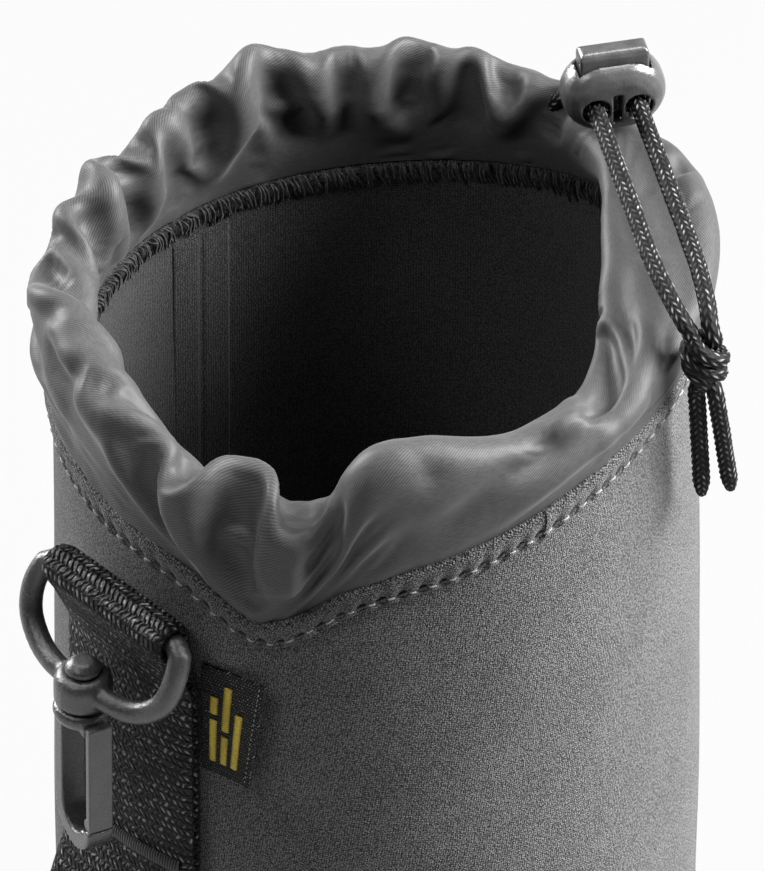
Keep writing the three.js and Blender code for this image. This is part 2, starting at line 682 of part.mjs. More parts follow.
function snapHook() {
  const plate = acrossHook(hookShape(), HOOK_THICK);
  const shoulderTop = RING_LOW - CLEAR - HOOK_TOP;
  const headLow = RING_LOW + RING_HEIGHT + CLEAR - HOOK_TOP;
  const shoulder = turned(
    [
      [0, -SHOULDER_DROP],
      [SHOULDER_RADIUS - 1.6, -SHOULDER_DROP],
      [SHOULDER_RADIUS - 0.4, 0.1],
      [SHOULDER_RADIUS, 1.2],
      [SHOULDER_RADIUS - 0.1, shoulderTop - 0.6],
      [SHOULDER_RADIUS - 0.7, shoulderTop],
      [POST_RADIUS, shoulderTop],
      [POST_RADIUS, headLow],
      [HEAD_RADIUS, headLow],
      [HEAD_RADIUS - 0.2, headLow + 0.5 * HEAD_HEIGHT],
      [HEAD_RADIUS - 1.4, headLow + HEAD_HEIGHT],
      [0, headLow + HEAD_HEIGHT],
    ],
    24,
  );
  return join(plate, shoulder);
}

function hookGate() {
  const shape = new THREE.Shape();
  const tip = noseTop + NOSE_GAP;
  shape.moveTo(gateOut, GATE_RISE);
  shape.lineTo(gateIn, GATE_RISE);
  shape.lineTo(gateIn, tip + 2 * GATE_KNOB_RADIUS + 0.3);
  shape.absarc(gateIn, tip + GATE_KNOB_RADIUS, GATE_KNOB_RADIUS, Math.PI / 2, (3 * Math.PI) / 2, false);
  shape.lineTo(gateOut, tip);
  shape.closePath();
  return acrossHook(shape, HOOK_THICK - CLEAR);
}

// Materials and the scene graph
const material = (color, roughness, metalness = 0) =>
  new THREE.MeshStandardMaterial({ color, roughness, metalness });

const neoprene = () => material(0x3a3a3c, 0.95);
const nylon = () => material(0x454547, 0.5);
const braid = () => material(0x161617, 0.85);
const webbing = () => material(0x121213, 0.9);
const thread = () => material(0x1b1b1c, 0.9);
const plastic = () => material(0x1d1d1f, 0.4);

const group = new THREE.Group();

function add(parent, name, geometry, finish) {
  const mesh = new THREE.Mesh(geometry, finish);
  mesh.name = name;
  parent.add(mesh);
}

add(group, 'body_wall', bodyWall(), neoprene());
add(group, 'side_seam_tape', seamTape(), material(0x232325, 0.9));
add(group, 'base_disc', baseDisc(), neoprene());
add(group, 'base_overlock', baseOverlock(), thread());
add(group, 'rim_band', rimBand(), neoprene());
add(group, 'rim_overlock', rimOverlock(), thread());
add(group, 'collar', collar(), nylon());
add(group, 'casing_cord', casingCord(), braid());
add(group, 'strand_left', cordStretch(STRAND_LEFT, 26), braid());
add(group, 'strand_right', cordStretch(STRAND_RIGHT, 26), braid());
add(group, 'cord_knot', cordKnot(), braid());
add(group, 'tail_left', cordStretch(TAIL_LEFT, 8), braid());
add(group, 'tail_right', cordStretch(TAIL_RIGHT, 8), braid());
add(group, 'strap', strap(), webbing());
add(group, 'belt_bartack_top', bartack(BELT_TACK_HIGH + TACK_HEIGHT), thread());
add(group, 'belt_bartack_bottom', bartack(BELT_TACK_LOW - TACK_HEIGHT), thread());
add(group, 'woven_label', wovenLabel(), material(0x17171a, 0.8));
add(group, 'swivel_eye', swivelEye(), plastic());

const lock = new THREE.Group();
lock.position.set(...LOCK_CENTRE);
lock.rotation.z = rad(LOCK_TURN);
group.add(lock);
add(lock, 'lock_barrel', lockBarrel(), plastic());
add(lock, 'lock_button', lockButton(), plastic());
add(lock, 'lock_spring', lockSpring(), material(0x9a9a9c, 0.35, 1));

const hook = new THREE.Group();
hook.position.set(0, SWIVEL_Y, HOOK_TOP);
hook.rotation.z = rad(HOOK_TURN);
group.add(hook);
add(hook, 'snap_hook', snapHook(), plastic());
add(hook, 'hook_gate', hookGate(), plastic());

export default group;
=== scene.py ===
"""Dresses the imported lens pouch: knit neoprene body, gathered nylon collar, braided draw cord with its lock,
webbing strap, snap hook and woven label. Shapes are worked out in millimetres in the row frame."""

import math

import bpy
import numpy as np
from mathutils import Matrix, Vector
from numpy.linalg import norm


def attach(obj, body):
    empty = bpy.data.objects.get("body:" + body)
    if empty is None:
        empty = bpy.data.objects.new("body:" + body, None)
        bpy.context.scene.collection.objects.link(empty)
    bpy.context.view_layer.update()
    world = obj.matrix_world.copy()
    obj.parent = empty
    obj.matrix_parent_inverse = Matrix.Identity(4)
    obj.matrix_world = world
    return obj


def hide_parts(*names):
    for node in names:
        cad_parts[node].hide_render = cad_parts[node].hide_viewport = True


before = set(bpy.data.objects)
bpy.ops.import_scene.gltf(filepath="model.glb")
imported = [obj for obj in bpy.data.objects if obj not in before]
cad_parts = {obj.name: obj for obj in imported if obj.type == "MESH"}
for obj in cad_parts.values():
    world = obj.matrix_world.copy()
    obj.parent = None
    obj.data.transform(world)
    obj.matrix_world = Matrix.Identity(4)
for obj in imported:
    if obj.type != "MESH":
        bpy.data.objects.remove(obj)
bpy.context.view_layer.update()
rng = np.random.default_rng(11)

MM = 0.001
TAU = 2 * math.pi
SPLINE_STEPS = 24

# Camera: the photograph's direction and scale
CAMERA_AZIMUTH = 48
CAMERA_ELEVATION = 39.5
CAMERA_DISTANCE = 4800
FRAME_HEIGHT = 147.4  # millimetres that the picture's height covers
FRAME_MIDDLE = (1.0, -12.3)  # right and up from the axis at AXIS_HEIGHT
AXIS_HEIGHT = 180
SENSOR = 36

# Body
BODY_RADIUS = 55
INNER_RADIUS = 50
BASE_THICK = 5
RIM_MEAN = 184.5
RIM_TILT, TILT_AT = 9.3, 60
RIM_SADDLE, SADDLE_AT = 4.2, 37
RIM_DIP, DIP_AT, DIP_WIDTH = 9.3, -62, 12.5
BAND_HEIGHT = 5.5
BAND_JOINT_AT = -11
BAND_LAP = 0.4
STITCH_LINE = 0.8  # share of the band's height from the rim down
STITCHES = 101
SEAM_AT = 175
TAPE_HALF = 6
TAPE_LOW = 9
TAPE_END = 4.6  # under the rim

# Cord
CORD_RADIUS = 1.5
CORD_GIRTH = 9.4
STRAND_LEFT = [
    [-9.2, 52.7, 207.9], [-8.8, 53, 209.3], [-7.3, 52.7, 211], [-5.2, 51.8, 211.9], [-3.3, 50.7, 212],
    [0.6, 48.5, 212], [4.5, 46.3, 212], [11.5, 42.4, 212], [18.4, 38.5, 212], [25.4, 34.6, 212],
    [32.4, 30.7, 212], [38, 27.5, 212], [43.4, 24.9, 211.8], [48.4, 22.8, 211.2], [52.3, 21.5, 210.4],
    [54.9, 20.9, 209.3],
]
STRAND_RIGHT = [
    [-5.6, 58.6, 206.8], [-5.2, 59.4, 208.3], [-4, 59.5, 210.2], [-2, 58.5, 211.7], [0.3, 57.1, 212],
    [4.2, 54.9, 212], [8.1, 52.7, 212], [15.1, 48.8, 212], [22.1, 44.9, 212], [29, 41, 212],
    [36, 37.1, 212], [41.5, 34, 212], [46.8, 30.9, 212], [51.6, 27.8, 211.8], [55.2, 25.4, 211],
    [57.2, 23.9, 209.5],
]
TAIL_LEFT = [
    [56.1, 22, 197.3], [55.9, 22.4, 193], [55.5, 23.1, 187], [55, 24, 180], [54.6, 24.7, 174],
    [54.4, 25, 170],
]
TAIL_RIGHT = [
    [58.6, 23.7, 197.3], [58.7, 24.4, 193], [58.5, 25.6, 187], [58.1, 27, 180], [57.7, 28.3, 174],
    [57.5, 28.9, 171],
]
KNOT_CENTRE = (57.0, 23.0, 203.3)
KNOT_TURN = 22
KNOT_TURNS = 1.6
KNOT_RADIUS = 3.3
KNOT_HALF = 4.6  # from its middle to its top
KNOT_LEAN = -0.8

# Strap
WEB_WIDTH = 30
WEB_THICK = 1.5
BACK_LAYER = 1.05  # middle of the webbing, out from the body
FRONT_LAYER = 2.85
LOOP_RADIUS = 3.2
BAR_HEIGHT = 160
SEWN_TOP = 147
BELT_TACK_HIGH = 106
BELT_TACK_LOW = 40
STRAP_BOTTOM = 28
BELT_GAP = 7
BACK_UV = 40  # where the webbing's back starts in its pattern
TACK_STITCHES = 52
TACK_PITCH = 0.5
TACK_FROM = -13
TACK_HALF = 1.5


def bump_at(angle, middle, width):
    """A smooth bump of height one round the given angle, in radians."""
    turn = (angle - math.radians(middle) + math.pi) % TAU - math.pi
    return np.exp(-((turn / math.radians(width)) ** 2))


def rim_height(angle):
    """Height of the wall's top edge."""
    tilt = RIM_TILT * np.cos(angle - math.radians(TILT_AT))
    saddle = RIM_SADDLE * np.cos(2 * (angle - math.radians(SADDLE_AT)))
    return RIM_MEAN + tilt + saddle - RIM_DIP * bump_at(angle, DIP_AT, DIP_WIDTH)


def smoothstep(value, low, high):
    share = np.clip((value - low) / (high - low), 0, 1)
    return share * share * (3 - 2 * share)


def value_noise(shape, cells, seed):
    """Smooth random field from -1 to 1 over a grid; it repeats along the first side."""
    rows, cols = cells
    lattice = np.random.default_rng(seed).uniform(-1, 1, (rows, cols + 1))
    a = np.linspace(0, rows, shape[0], endpoint=False)
    b = np.linspace(0, cols, shape[1])
    ia, ib = np.floor(a).astype(int), np.minimum(np.floor(b).astype(int), cols - 1)
    fa, fb = smoothstep(a - ia, 0, 1)[:, None], smoothstep(b - ib, 0, 1)[None, :]
    here, ahead = lattice[ia], lattice[(ia + 1) % rows]
    low = here[:, ib] * (1 - fa) + ahead[:, ib] * fa
    high = here[:, ib + 1] * (1 - fa) + ahead[:, ib + 1] * fa
    return low * (1 - fb) + high * fb


def catmull(p0, p1, p2, p3, t):
    """Smooth curve from p1 to p2, at shares t of the way."""
    return 0.5 * (2 * p1 + (p2 - p0) * t + (2 * p0 - 5 * p1 + 4 * p2 - p3) * t**2
                  + (3 * p1 - p0 - 3 * p2 + p3) * t**3)


def arc_reach(path):
    """Length along a path up to each of its points."""
    return np.concatenate([[0], np.cumsum(norm(np.diff(path, axis=0), axis=1))])


def spline(points, samples):
    """Smooth curve through points, resampled at equal steps of arc length."""
    points = np.asarray(points, float)
    padded = np.vstack([2 * points[0] - points[1], points, 2 * points[-1] - points[-2]])
    t = np.linspace(0, 1, SPLINE_STEPS, endpoint=False)[:, None]
    dense = [catmull(*padded[i - 1 : i + 3], t) for i in range(1, len(padded) - 2)]
    line = np.vstack([*dense, points[-1:]])
    reach = arc_reach(line)
    at = np.linspace(0, reach[-1], samples)
    return np.stack([np.interp(at, reach, line[:, k]) for k in range(3)], 1)


def line_length(path):
    return float(norm(np.diff(path, axis=0), axis=1).sum())


def carry_frames(path):
    """Two side directions along a path that don't twist."""
    ahead = np.gradient(path, axis=0)
    ahead /= norm(ahead, axis=1)[:, None]
    side = np.cross(ahead[0], [0.3, 0.2, 1.0])
    side /= norm(side)
    sides = []
    for direction in ahead:
        side = side - direction * np.dot(side, direction)
        side /= norm(side)
        sides.append(side)
    sides = np.array(sides)
    return sides, np.cross(ahead, sides)


def link(data, name):
    made = bpy.data.objects.new(name, data)
    bpy.context.scene.collection.objects.link(made)
    return made


def mesh_piece(name, points, faces, uv=None):
    """A smooth-shaded mesh from points in millimetres; uv has one pair per face corner."""
    mesh = bpy.data.meshes.new(name)
    mesh.from_pydata((np.asarray(points, float) * MM).tolist(), [], [list(map(int, f)) for f in faces])
    if uv is not None:
        mesh.uv_layers.new(name="UVMap").data.foreach_set("uv", np.asarray(uv, float).reshape(-1))
    mesh.polygons.foreach_set("use_smooth", [True] * len(mesh.polygons))
    mesh.update()
    return link(mesh, name)


def grid_faces(rows, cols, close_rows=False, close_cols=False):
    r = np.arange(rows if close_rows else rows - 1)
    c = np.arange(cols if close_cols else cols - 1)
    rr, cc = np.meshgrid(r, c, indexing="ij")
    rn, cn = (rr + 1) % rows, (cc + 1) % cols
    faces = np.stack([rr * cols + cc, rn * cols + cc, rn * cols + cn, rr * cols + cn], -1).reshape(-1, 4)
    return faces, rr, cc


def grid_piece(name, points, uv, close_rows=False, close_cols=False):
    """A piece from a grid of points; uv is in millimetres and one wider on each closed side."""
    rows, cols = points.shape[:2]
    faces, rr, cc = grid_faces(rows, cols, close_rows, close_cols)
    corners = np.stack([uv[rr, cc], uv[rr + 1, cc], uv[rr + 1, cc + 1], uv[rr, cc + 1]], 2)
    return mesh_piece(name, points.reshape(-1, 3), faces, corners)


def round_z(radius, angle, z):
    return np.stack(np.broadcast_arrays(radius * np.cos(angle), radius * np.sin(angle), z), -1)


def uv_grid(first, second):
    return np.stack(np.meshgrid(first, second, indexing="ij"), -1)


def tube_points(path, radius, around):
    """Rings of points round a path, at the given angles."""
    u, v = carry_frames(path)
    cos, sin = np.cos(around)[None, :, None], np.sin(around)[None, :, None]
    return path[:, None] + radius[:, :, None] * (cos * u[:, None] + sin * v[:, None])


def tubes_piece(name, paths, radius, sides=5):
    """Many short round threads in one mesh, tapered at their ends."""
    points, faces, start = [], [], 0
    around = np.arange(sides) * TAU / sides
    for path in paths:
        share = np.linspace(-1, 1, len(path))
        thick = radius * np.sqrt(np.clip(1 - 0.85 * share**6, 0.05, 1))
        rings = tube_points(np.asarray(path, float), thick[:, None], around)
        block, _, _ = grid_faces(len(path), sides, False, True)
        points.append(rings.reshape(-1, 3))
        faces.extend((block + start).tolist())
        faces.append(list(range(start + sides - 1, start - 1, -1)))
        last = start + (len(path) - 1) * sides
        faces.append(list(range(last, last + sides)))
        start += len(path) * sides
    return mesh_piece(name, np.vstack(points), faces)


class Look:
    """A node material round one Principled shader."""

    def __init__(self, name, color, roughness, **settings):
        self.material = bpy.data.materials.new(name)
        self.material.use_nodes = True
        self.tree = self.material.node_tree
        self.shader = self.tree.nodes["Principled BSDF"]
        self.shader.inputs["Base Color"].default_value = (*color, 1)
        self.shader.inputs["Roughness"].default_value = roughness
        for key, value in settings.items():
            self.shader.inputs[key.replace("_", " ")].default_value = value

    def node(self, kind, inputs=None, **settings):
        made = self.tree.nodes.new(kind)
        for key, value in settings.items():
            setattr(made, key, value)
        for key, value in (inputs or {}).items():
            if isinstance(value, bpy.types.NodeSocket):
                self.tree.links.new(value, made.inputs[key])
            else:
                made.inputs[key].default_value = value
        return made

    def place(self, scale=(1, 1, 1), turn=0.0, coords="UV"):
        """UV in millimetres, stretched and turned."""
        vector = self.node("ShaderNodeTexCoord").outputs[coords]
        inputs = {"Vector": vector, "Scale": scale, "Rotation": (0, 0, math.radians(turn))}
        return self.node("ShaderNodeMapping", inputs).outputs[0]

    def own_place(self):
        """The object's own place in millimetres."""
        return self.place([1 / MM] * 3, coords="Object")

    def noise(self, vector, scale, detail=2.0, roughness=0.5):
        inputs = {"Vector": vector, "Scale": scale, "Detail": detail, "Roughness": roughness}
        return self.node("ShaderNodeTexNoise", inputs).outputs["Fac"]

    def math(self, operation, a, b=0.5, clamp=False):
        return self.node("ShaderNodeMath", {0: a, 1: b}, operation=operation, use_clamp=clamp).outputs[0]

    def blend(self, *layers):
        """The sum of fields, each times its weight."""
        parts = [self.math("MULTIPLY", field, weight) for field, weight in layers]
        total = parts[0]
        for part in parts[1:]:
            total = self.math("ADD", total, part)
        return total

    def feed(self, name, socket):
        self.tree.links.new(socket, self.shader.inputs[name])

    def color(self, value, stops):
        """Base colour from a field, by colours at places from 0 to 1."""
        made = self.node("ShaderNodeValToRGB", {"Fac": value})
        elements = made.color_ramp.elements
        while len(elements) < len(stops):
            elements.new(0.5)
        for element, (place, color) in zip(elements, stops):
            element.position = place
            element.color = (*color, 1)
        self.feed("Base Color", made.outputs["Color"])

    def rough(self, value, low, high):
        spread = self.node("ShaderNodeMapRange", {"Value": value, "To Min": low, "To Max": high})
        self.feed("Roughness", spread.outputs[0])

    def bump(self, layers):
        """Height fields with their depths in millimetres, stacked."""
        normal = None
        for height, depth in layers:
            inputs = {"Height": height, "Strength": 1.0, "Distance": depth * MM}
            if normal is not None:
                inputs["Normal"] = normal
            normal = self.node("ShaderNodeBump", inputs).outputs[0]
        self.feed("Normal", normal)


def grey(value):
    return (value, value, value)


def knit_look(name, light, pitch, turn):
    """Heathered jersey: fine uneven rows of loops with pale and dark fibres."""
    dark = 0.010
    look = Look(name, grey(0.1), 0.9, Sheen_Weight=0.15, Sheen_Roughness=0.5, Specular_IOR_Level=0.2)
    rows = look.place(scale=(1 / pitch, 1 / pitch, 1), turn=turn)
    spots = look.node("ShaderNodeTexVoronoi", {"Vector": rows, "Scale": 1.0, "Randomness": 0.4})
    loops = look.math("SUBTRACT", 1.0, spots.outputs["Distance"])
    fibres = look.noise(look.place(), 3.6, roughness=0.6)
    cloud = look.noise(look.place(), 0.06, detail=3.0)
    tone = look.blend((loops, 0.35), (fibres, 0.55), (cloud, 0.06))
    look.color(tone, [(0.43, grey(dark)), (0.53, grey(0.6 * dark + 0.4 * light)), (0.65, grey(light))])
    look.bump([(loops, 0.15), (fibres, 0.2)])
    return look.material


TWILL_TURN = 52
TWILL_PITCH = 0.38


def nylon_look():
    """Thin nylon with a fine diagonal weave and a dull shine."""
    look = Look("nylon", grey(0.06), 0.5, Specular_IOR_Level=0.28, Sheen_Weight=0.1, Sheen_Roughness=0.4)
    inputs = {"Vector": look.place(turn=TWILL_TURN), "Scale": 0.314 / TWILL_PITCH, "Distortion": 0.5,
              "Detail": 2.0, "Detail Scale": 2.0}
    twill = look.node("ShaderNodeTexWave", inputs).outputs["Fac"]
    yarn = look.noise(look.place(scale=(0.7, 3.0, 1), turn=TWILL_TURN), 1.0, detail=3.0)
    crumple = look.noise(look.place(scale=(0.08, 0.12, 1)), 1.0, detail=3.0)
    tone = look.blend((twill, 0.45), (yarn, 0.55))
    look.color(tone, [(0.2, grey(0.034)), (0.5, grey(0.059)), (0.85, grey(0.1))])
    look.rough(yarn, 0.46, 0.58)
    look.bump([(crumple, 0.5), (twill, 0.010), (yarn, 0.02)])
    return look.material


def braid_look():
    """Black braided cord; a point attribute paints a highlight on the crown of each yarn."""
    look = Look("cord_braid", grey(0.006), 0.6, Specular_IOR_Level=0.2)
    crown_highlight = look.node("ShaderNodeAttribute", attribute_name="crown_highlight").outputs["Fac"]
    fibres = look.noise(look.place(scale=(9, 3, 1)), 1.0, detail=3.0)
    # The pale tones of the cord are the painted highlight on the yarns' crowns.
    tone = look.blend((fibres, 0.2), (crown_highlight, 0.8))
    look.color(tone, [(0.3, grey(0.002)), (0.55, grey(0.015)), (0.70, grey(0.16)), (0.86, grey(0.44))])
    look.bump([(fibres, 0.1)])
    return look.material


def webbing_look(name="webbing", tone=0.005, wide=1.15, tall=1.5, half=15, glint_weight=0.30):
    """Black webbing: rows of short yarns that lean by turns left and right, set off by half a yarn. Its colour
    has painted highlights: the yarns' crowns and a few random yarns are made lighter.
    """
    look = Look(name, grey(tone), 0.6, Specular_IOR_Level=0.2)
    calc = look.math
    parts = look.node("ShaderNodeSeparateXYZ", {0: look.place()})
    stray = calc("MULTIPLY", look.noise(look.place(), 0.9, detail=1.0), 0.7)
    across = calc("ADD", calc("DIVIDE", parts.outputs[0], wide), stray)
    along = calc("ADD", calc("DIVIDE", parts.outputs[1], tall), stray)
    row = calc("FLOOR", along)
    in_row = calc("FRACT", along)
    shift = calc("MULTIPLY", row, 0.5)
    lean = calc("SUBTRACT", calc("MULTIPLY", calc("MODULO", row, 2), 1.6), 0.8)
    slant = calc("MULTIPLY", calc("SUBTRACT", in_row, 0.5), lean)
    place = calc("ADD", across, calc("ADD", shift, slant))
    in_yarn = calc("FRACT", place)
    humps = [calc("SINE", calc("MULTIPLY", place, math.pi)) for place in (in_yarn, in_row)]
    crown = calc("MULTIPLY", *humps)
    which = look.node("ShaderNodeCombineXYZ", {0: calc("FLOOR", place), 1: row})
    # Painted glints: a few yarns, chosen at random, are made much lighter in the colour.
    painted_glint = look.node("ShaderNodeTexWhiteNoise", {"Vector": which.outputs[0]}).outputs["Value"]
    painted_glint = calc("SUBTRACT", painted_glint, 0.63)
    fibres = look.noise(look.place(scale=(1.6 / wide, 1.6 / tall, 1)), 1.0, detail=3.0, roughness=0.6)
    edge = calc("GREATER_THAN", calc("ABSOLUTE", parts.outputs[0]), 0.86 * half)
    # Painted highlight: the crown of each yarn is also made lighter in the colour.
    shade = look.blend((crown, 0.5), (fibres, 0.8), (painted_glint, glint_weight), (edge, 0.06))
    stops = [(0.52, grey(0.3 * tone)), (0.72, grey(tone)), (0.84, grey(8 * tone)), (0.98, grey(60 * tone))]
    look.color(shade, stops)
    look.bump([(crown, 0.55 * wide), (fibres, 0.4 * wide)])
    return look.material


def plastic_look(name, tone, rough_low, rough_high, grain=0.05):
    """Moulded satin plastic with a fine grain and a few scuffs."""
    look = Look(name, grey(tone), 0.4, Specular_IOR_Level=0.75)
    place = look.own_place()
    speckle = look.noise(place, 2.2, detail=4.0, roughness=0.6)
    scuff = look.noise(place, 0.35, detail=3.0)
    look.color(scuff, [(0.3, grey(tone * 0.8)), (0.7, grey(tone * 1.25))])
    look.rough(speckle, rough_low, rough_high)
    look.bump([(speckle, grain)])
    return look.material


def mottled(name, color, roughness, scale, dark, light, depth=0.0, **settings):
    """A look that wanders between two tones, and the field that it follows."""
    look = Look(name, color, roughness, **settings)
    field = look.noise(look.own_place(), scale)
    look.color(field, [(0.3, dark), (0.7, light)])
    if depth:
        look.bump([(field, depth)])
    return look, field


def thread_look(name, tone):
    """Twisted sewing thread."""
    shades = grey(tone * 0.6), grey(tone * 1.25)
    return mottled(name, grey(tone), 0.65, 2.5, *shades, 0.08, Sheen_Weight=0.2)[0].material


def wire_look():
    look, scuff = mottled("spring_wire", grey(0.55), 0.3, 3.0, grey(0.45), grey(0.62), Metallic=1.0)
    look.rough(scuff, 0.22, 0.38)
    return look.material


jersey = knit_look("jersey", 0.30, 0.42, 8)
band_jersey = knit_look("band_jersey", 0.28, 0.42, 20)
lining = knit_look("lining", 0.085, 0.5, 90)
nylon = nylon_look()
braid = braid_look()
webbing = webbing_look()
plastic = plastic_look("moulded_plastic", 0.045, 0.20, 0.38, 0.12)
lock_plastic = plastic_look("lock_plastic", 0.065, 0.17, 0.32, 0.05)
dark_thread = thread_look("dark_thread", 0.010)
# The pale thread also paints the glints on the hem's dark stitches.
pale_thread_and_glint = thread_look("pale_thread_and_glint", 0.36)
wire = wire_look()


def finish_piece(piece, look, slot, *nodes, body="pouch"):
    """Gives a piece its material and body, and hides the solids that it stands for. Its slot is not used."""
    piece.data.materials.clear()
    piece.data.materials.append(look)
    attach(piece, body)
    if nodes:
        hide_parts(*nodes)


def thicken(piece, thickness):
    """Gives a sheet its thickness, back from its face."""
    piece.modifiers.new("thickness", "SOLIDIFY").thickness = thickness * MM


def direction(azimuth, elevation):
    """The way out from the axis to a camera or lamp, from its azimuth and elevation in degrees."""
    turn, lift = math.radians(azimuth), math.radians(elevation)
    return Vector((math.sin(turn) * math.cos(lift), -math.cos(turn) * math.cos(lift), math.sin(lift)))


# Camera
toward = direction(CAMERA_AZIMUTH, CAMERA_ELEVATION)
right = Vector((math.cos(math.radians(CAMERA_AZIMUTH)), math.sin(math.radians(CAMERA_AZIMUTH)), 0))
upward = toward.cross(right)
aim = Vector((0, 0, AXIS_HEIGHT)) + FRAME_MIDDLE[0] * right + FRAME_MIDDLE[1] * upward
camera_data = bpy.data.cameras.new("camera")
camera_data.sensor_width = SENSOR
camera_data.lens = SENSOR * CAMERA_DISTANCE / FRAME_HEIGHT
camera_data.clip_end = 100
camera = link(camera_data, "camera")
camera.location = (aim + toward * CAMERA_DISTANCE) * MM
camera.rotation_euler = toward.to_track_quat("Z", "Y").to_euler()
bpy.context.scene.camera = camera


# Cords
def knot_path(phase):
    """One cord's wraps round the knot's middle, from its top to its bottom."""
    share = np.linspace(0, 1, 22)
    swell = np.sin(math.pi * np.clip(share, 0.02, 0.98)) ** 0.5
    angle = math.radians(phase) + KNOT_TURNS * TAU * share
    x = KNOT_RADIUS * swell * np.cos(angle)
    y = 0.85 * KNOT_RADIUS * swell * np.sin(angle)
    z = KNOT_HALF - 2 * KNOT_HALF * share + KNOT_LEAN * x / KNOT_RADIUS
    cos, sin = math.cos(math.radians(KNOT_TURN)), math.sin(math.radians(KNOT_TURN))
    world = np.stack([x * cos - y * sin, x * sin + y * cos, z], 1)
    return (world + np.array(KNOT_CENTRE))[2:-2]


def braid_piece(name, path, highlight_seed, taper=0.0):
    """A round cord of plaited yarn: columns of slanted ovals, leaning by turns left and right."""
    columns, per_column, pitch = 10, 4, 1.5
    sides = columns * per_column
    reach = arc_reach(path)
    around = np.arange(sides) / sides
    column = np.floor(around * columns).astype(int)
    inside = around * columns - column + 0.5 / per_column
    odd = column % 2
    slant = np.where(odd == 0, 1.0, -1.0) * (inside - 0.5)
    phase = reach[:, None] / pitch + slant[None, :] * 0.9 + odd[None, :] * 0.5 + 1
    oval = np.sin(math.pi * (phase % 1)) * np.sin(math.pi * inside)[None, :] ** 0.7
    height = CORD_RADIUS - 0.3 + 0.38 * oval**0.6
    ends = np.minimum(reach, reach[-1] - reach)
    height *= np.sqrt(np.clip(ends / 0.8, 0.02, 1))[:, None]
    height *= (1 - taper * np.clip(1 - (reach[-1] - reach) / 4, 0, 1) ** 1.5)[:, None]
    uv = uv_grid(reach, np.arange(sides + 1) / sides * CORD_GIRTH)
    piece = grid_piece(name, tube_points(path, height, around * TAU), uv, False, True)
    # Painted highlight: each yarn's crown gets a value, stronger on some yarns at random, that the cord's
    # material paints pale.
    draw = np.random.default_rng(highlight_seed).random((int(reach[-1] / pitch) + 4, columns))
    chosen = draw[np.floor(phase).astype(int), np.broadcast_to(column, phase.shape)]
    crown_highlight = oval * (0.6 + 0.4 * chosen)
    data = piece.data.attributes.new("crown_highlight", "FLOAT", "POINT")
    data.data.foreach_set("value", crown_highlight.reshape(-1))
    return piece


def eased(path, passes):
    """A path with its corners rounded and its ends kept."""
    path = path.copy()
    for _ in range(passes):
        path[1:-1] = 0.5 * path[1:-1] + 0.25 * (path[:-2] + path[2:])
    return path


def draw_cord(name, strand, knot, tail, highlight_seed, *nodes):
    points = np.vstack([strand, knot, tail])
    route = eased(spline(points, 900), 160)
    route = spline(route[::3], int(line_length(route) / 0.2))
    piece = braid_piece(name, route, highlight_seed, 0.6)
    finish_piece(piece, braid, "cord_braid", *nodes)
    path = route[::4] * MM
    line_length(path)


draw_cord("draw_cord_left", STRAND_LEFT, knot_path(150), TAIL_LEFT, 3,
          "strand_left", "tail_left", "cord_knot")
draw_cord("draw_cord_right", STRAND_RIGHT, knot_path(-30), TAIL_RIGHT, 4,
          "strand_right", "tail_right")


# Body
ANGLES = np.linspace(0, TAU, 240, endpoint=False)
LIP_RADIUS = np.array([54.6, 53.6, 52.5, 51.2, 50.3])
LIP_RISE = np.array([-0.7, -0.2, 0.0, -0.2, -0.7])
LIP_DEPTH = 1.6  # from the rim down to where the wall is straight


def make_body():
    outside, inside = 40, 26
    rim = rim_height(ANGLES)[:, None]
    rise = np.linspace(0, 1, outside) ** 0.8
    low = BASE_THICK + 0.3
    out_z = low + (rim - LIP_DEPTH - low) * rise
    out_r = np.full_like(out_z, BODY_RADIUS)
    out_r += 0.35 * value_noise(out_z.shape, (9, 5), 21)
    out_r -= 0.9 * np.exp(-((out_z - low) / 1.5) ** 2)
    in_z = rim - LIP_DEPTH - (rim - LIP_DEPTH - low) * np.linspace(0, 1, inside)
    in_r = INNER_RADIUS + 0.25 * value_noise(in_z.shape, (11, 5), 22)
    radius = np.hstack([out_r, np.broadcast_to(LIP_RADIUS, (len(ANGLES), len(LIP_RADIUS))), in_r])
    height = np.hstack([out_z, rim + LIP_RISE, in_z])
    points = round_z(radius, ANGLES[:, None], height)
    along = np.vstack([height, height[:1]])
    along = np.hstack([along, along[:, :1]])
    around = np.broadcast_to((np.append(ANGLES, TAU) * BODY_RADIUS)[:, None], along.shape)
    body = grid_piece("pouch_body", points, np.stack([around, along], -1), True, True)
    finish_piece(body, jersey, "neoprene", "body_wall")
    body.data.materials.append(lining)
    per_ring = radius.shape[1]
    index = np.arange(len(body.data.polygons)) % per_ring
    body.data.polygons.foreach_set("material_index", np.where(index >= outside + 2, 1, 0).astype(np.int32))


BASE_PROFILE = np.array([(0.3, 0), (26, 0), (50, 0), (53.4, 0.4), (54.8, 1.8), (54.9, 3.4), (54.2, 4.8),
                         (50, 5), (26, 5.2), (0.3, 5.2)])


def make_base():
    angles = np.linspace(0, TAU, 180, endpoint=False)
    points = round_z(BASE_PROFILE[:, 0], angles[:, None], BASE_PROFILE[:, 1])
    flat = np.concatenate([points, points[:1]])[:, :, :2]
    flat = np.concatenate([flat, flat[:, :1]], axis=1)
    base = grid_piece("pouch_base", points, flat, True, True)
    finish_piece(base, jersey, "neoprene", "base_disc")


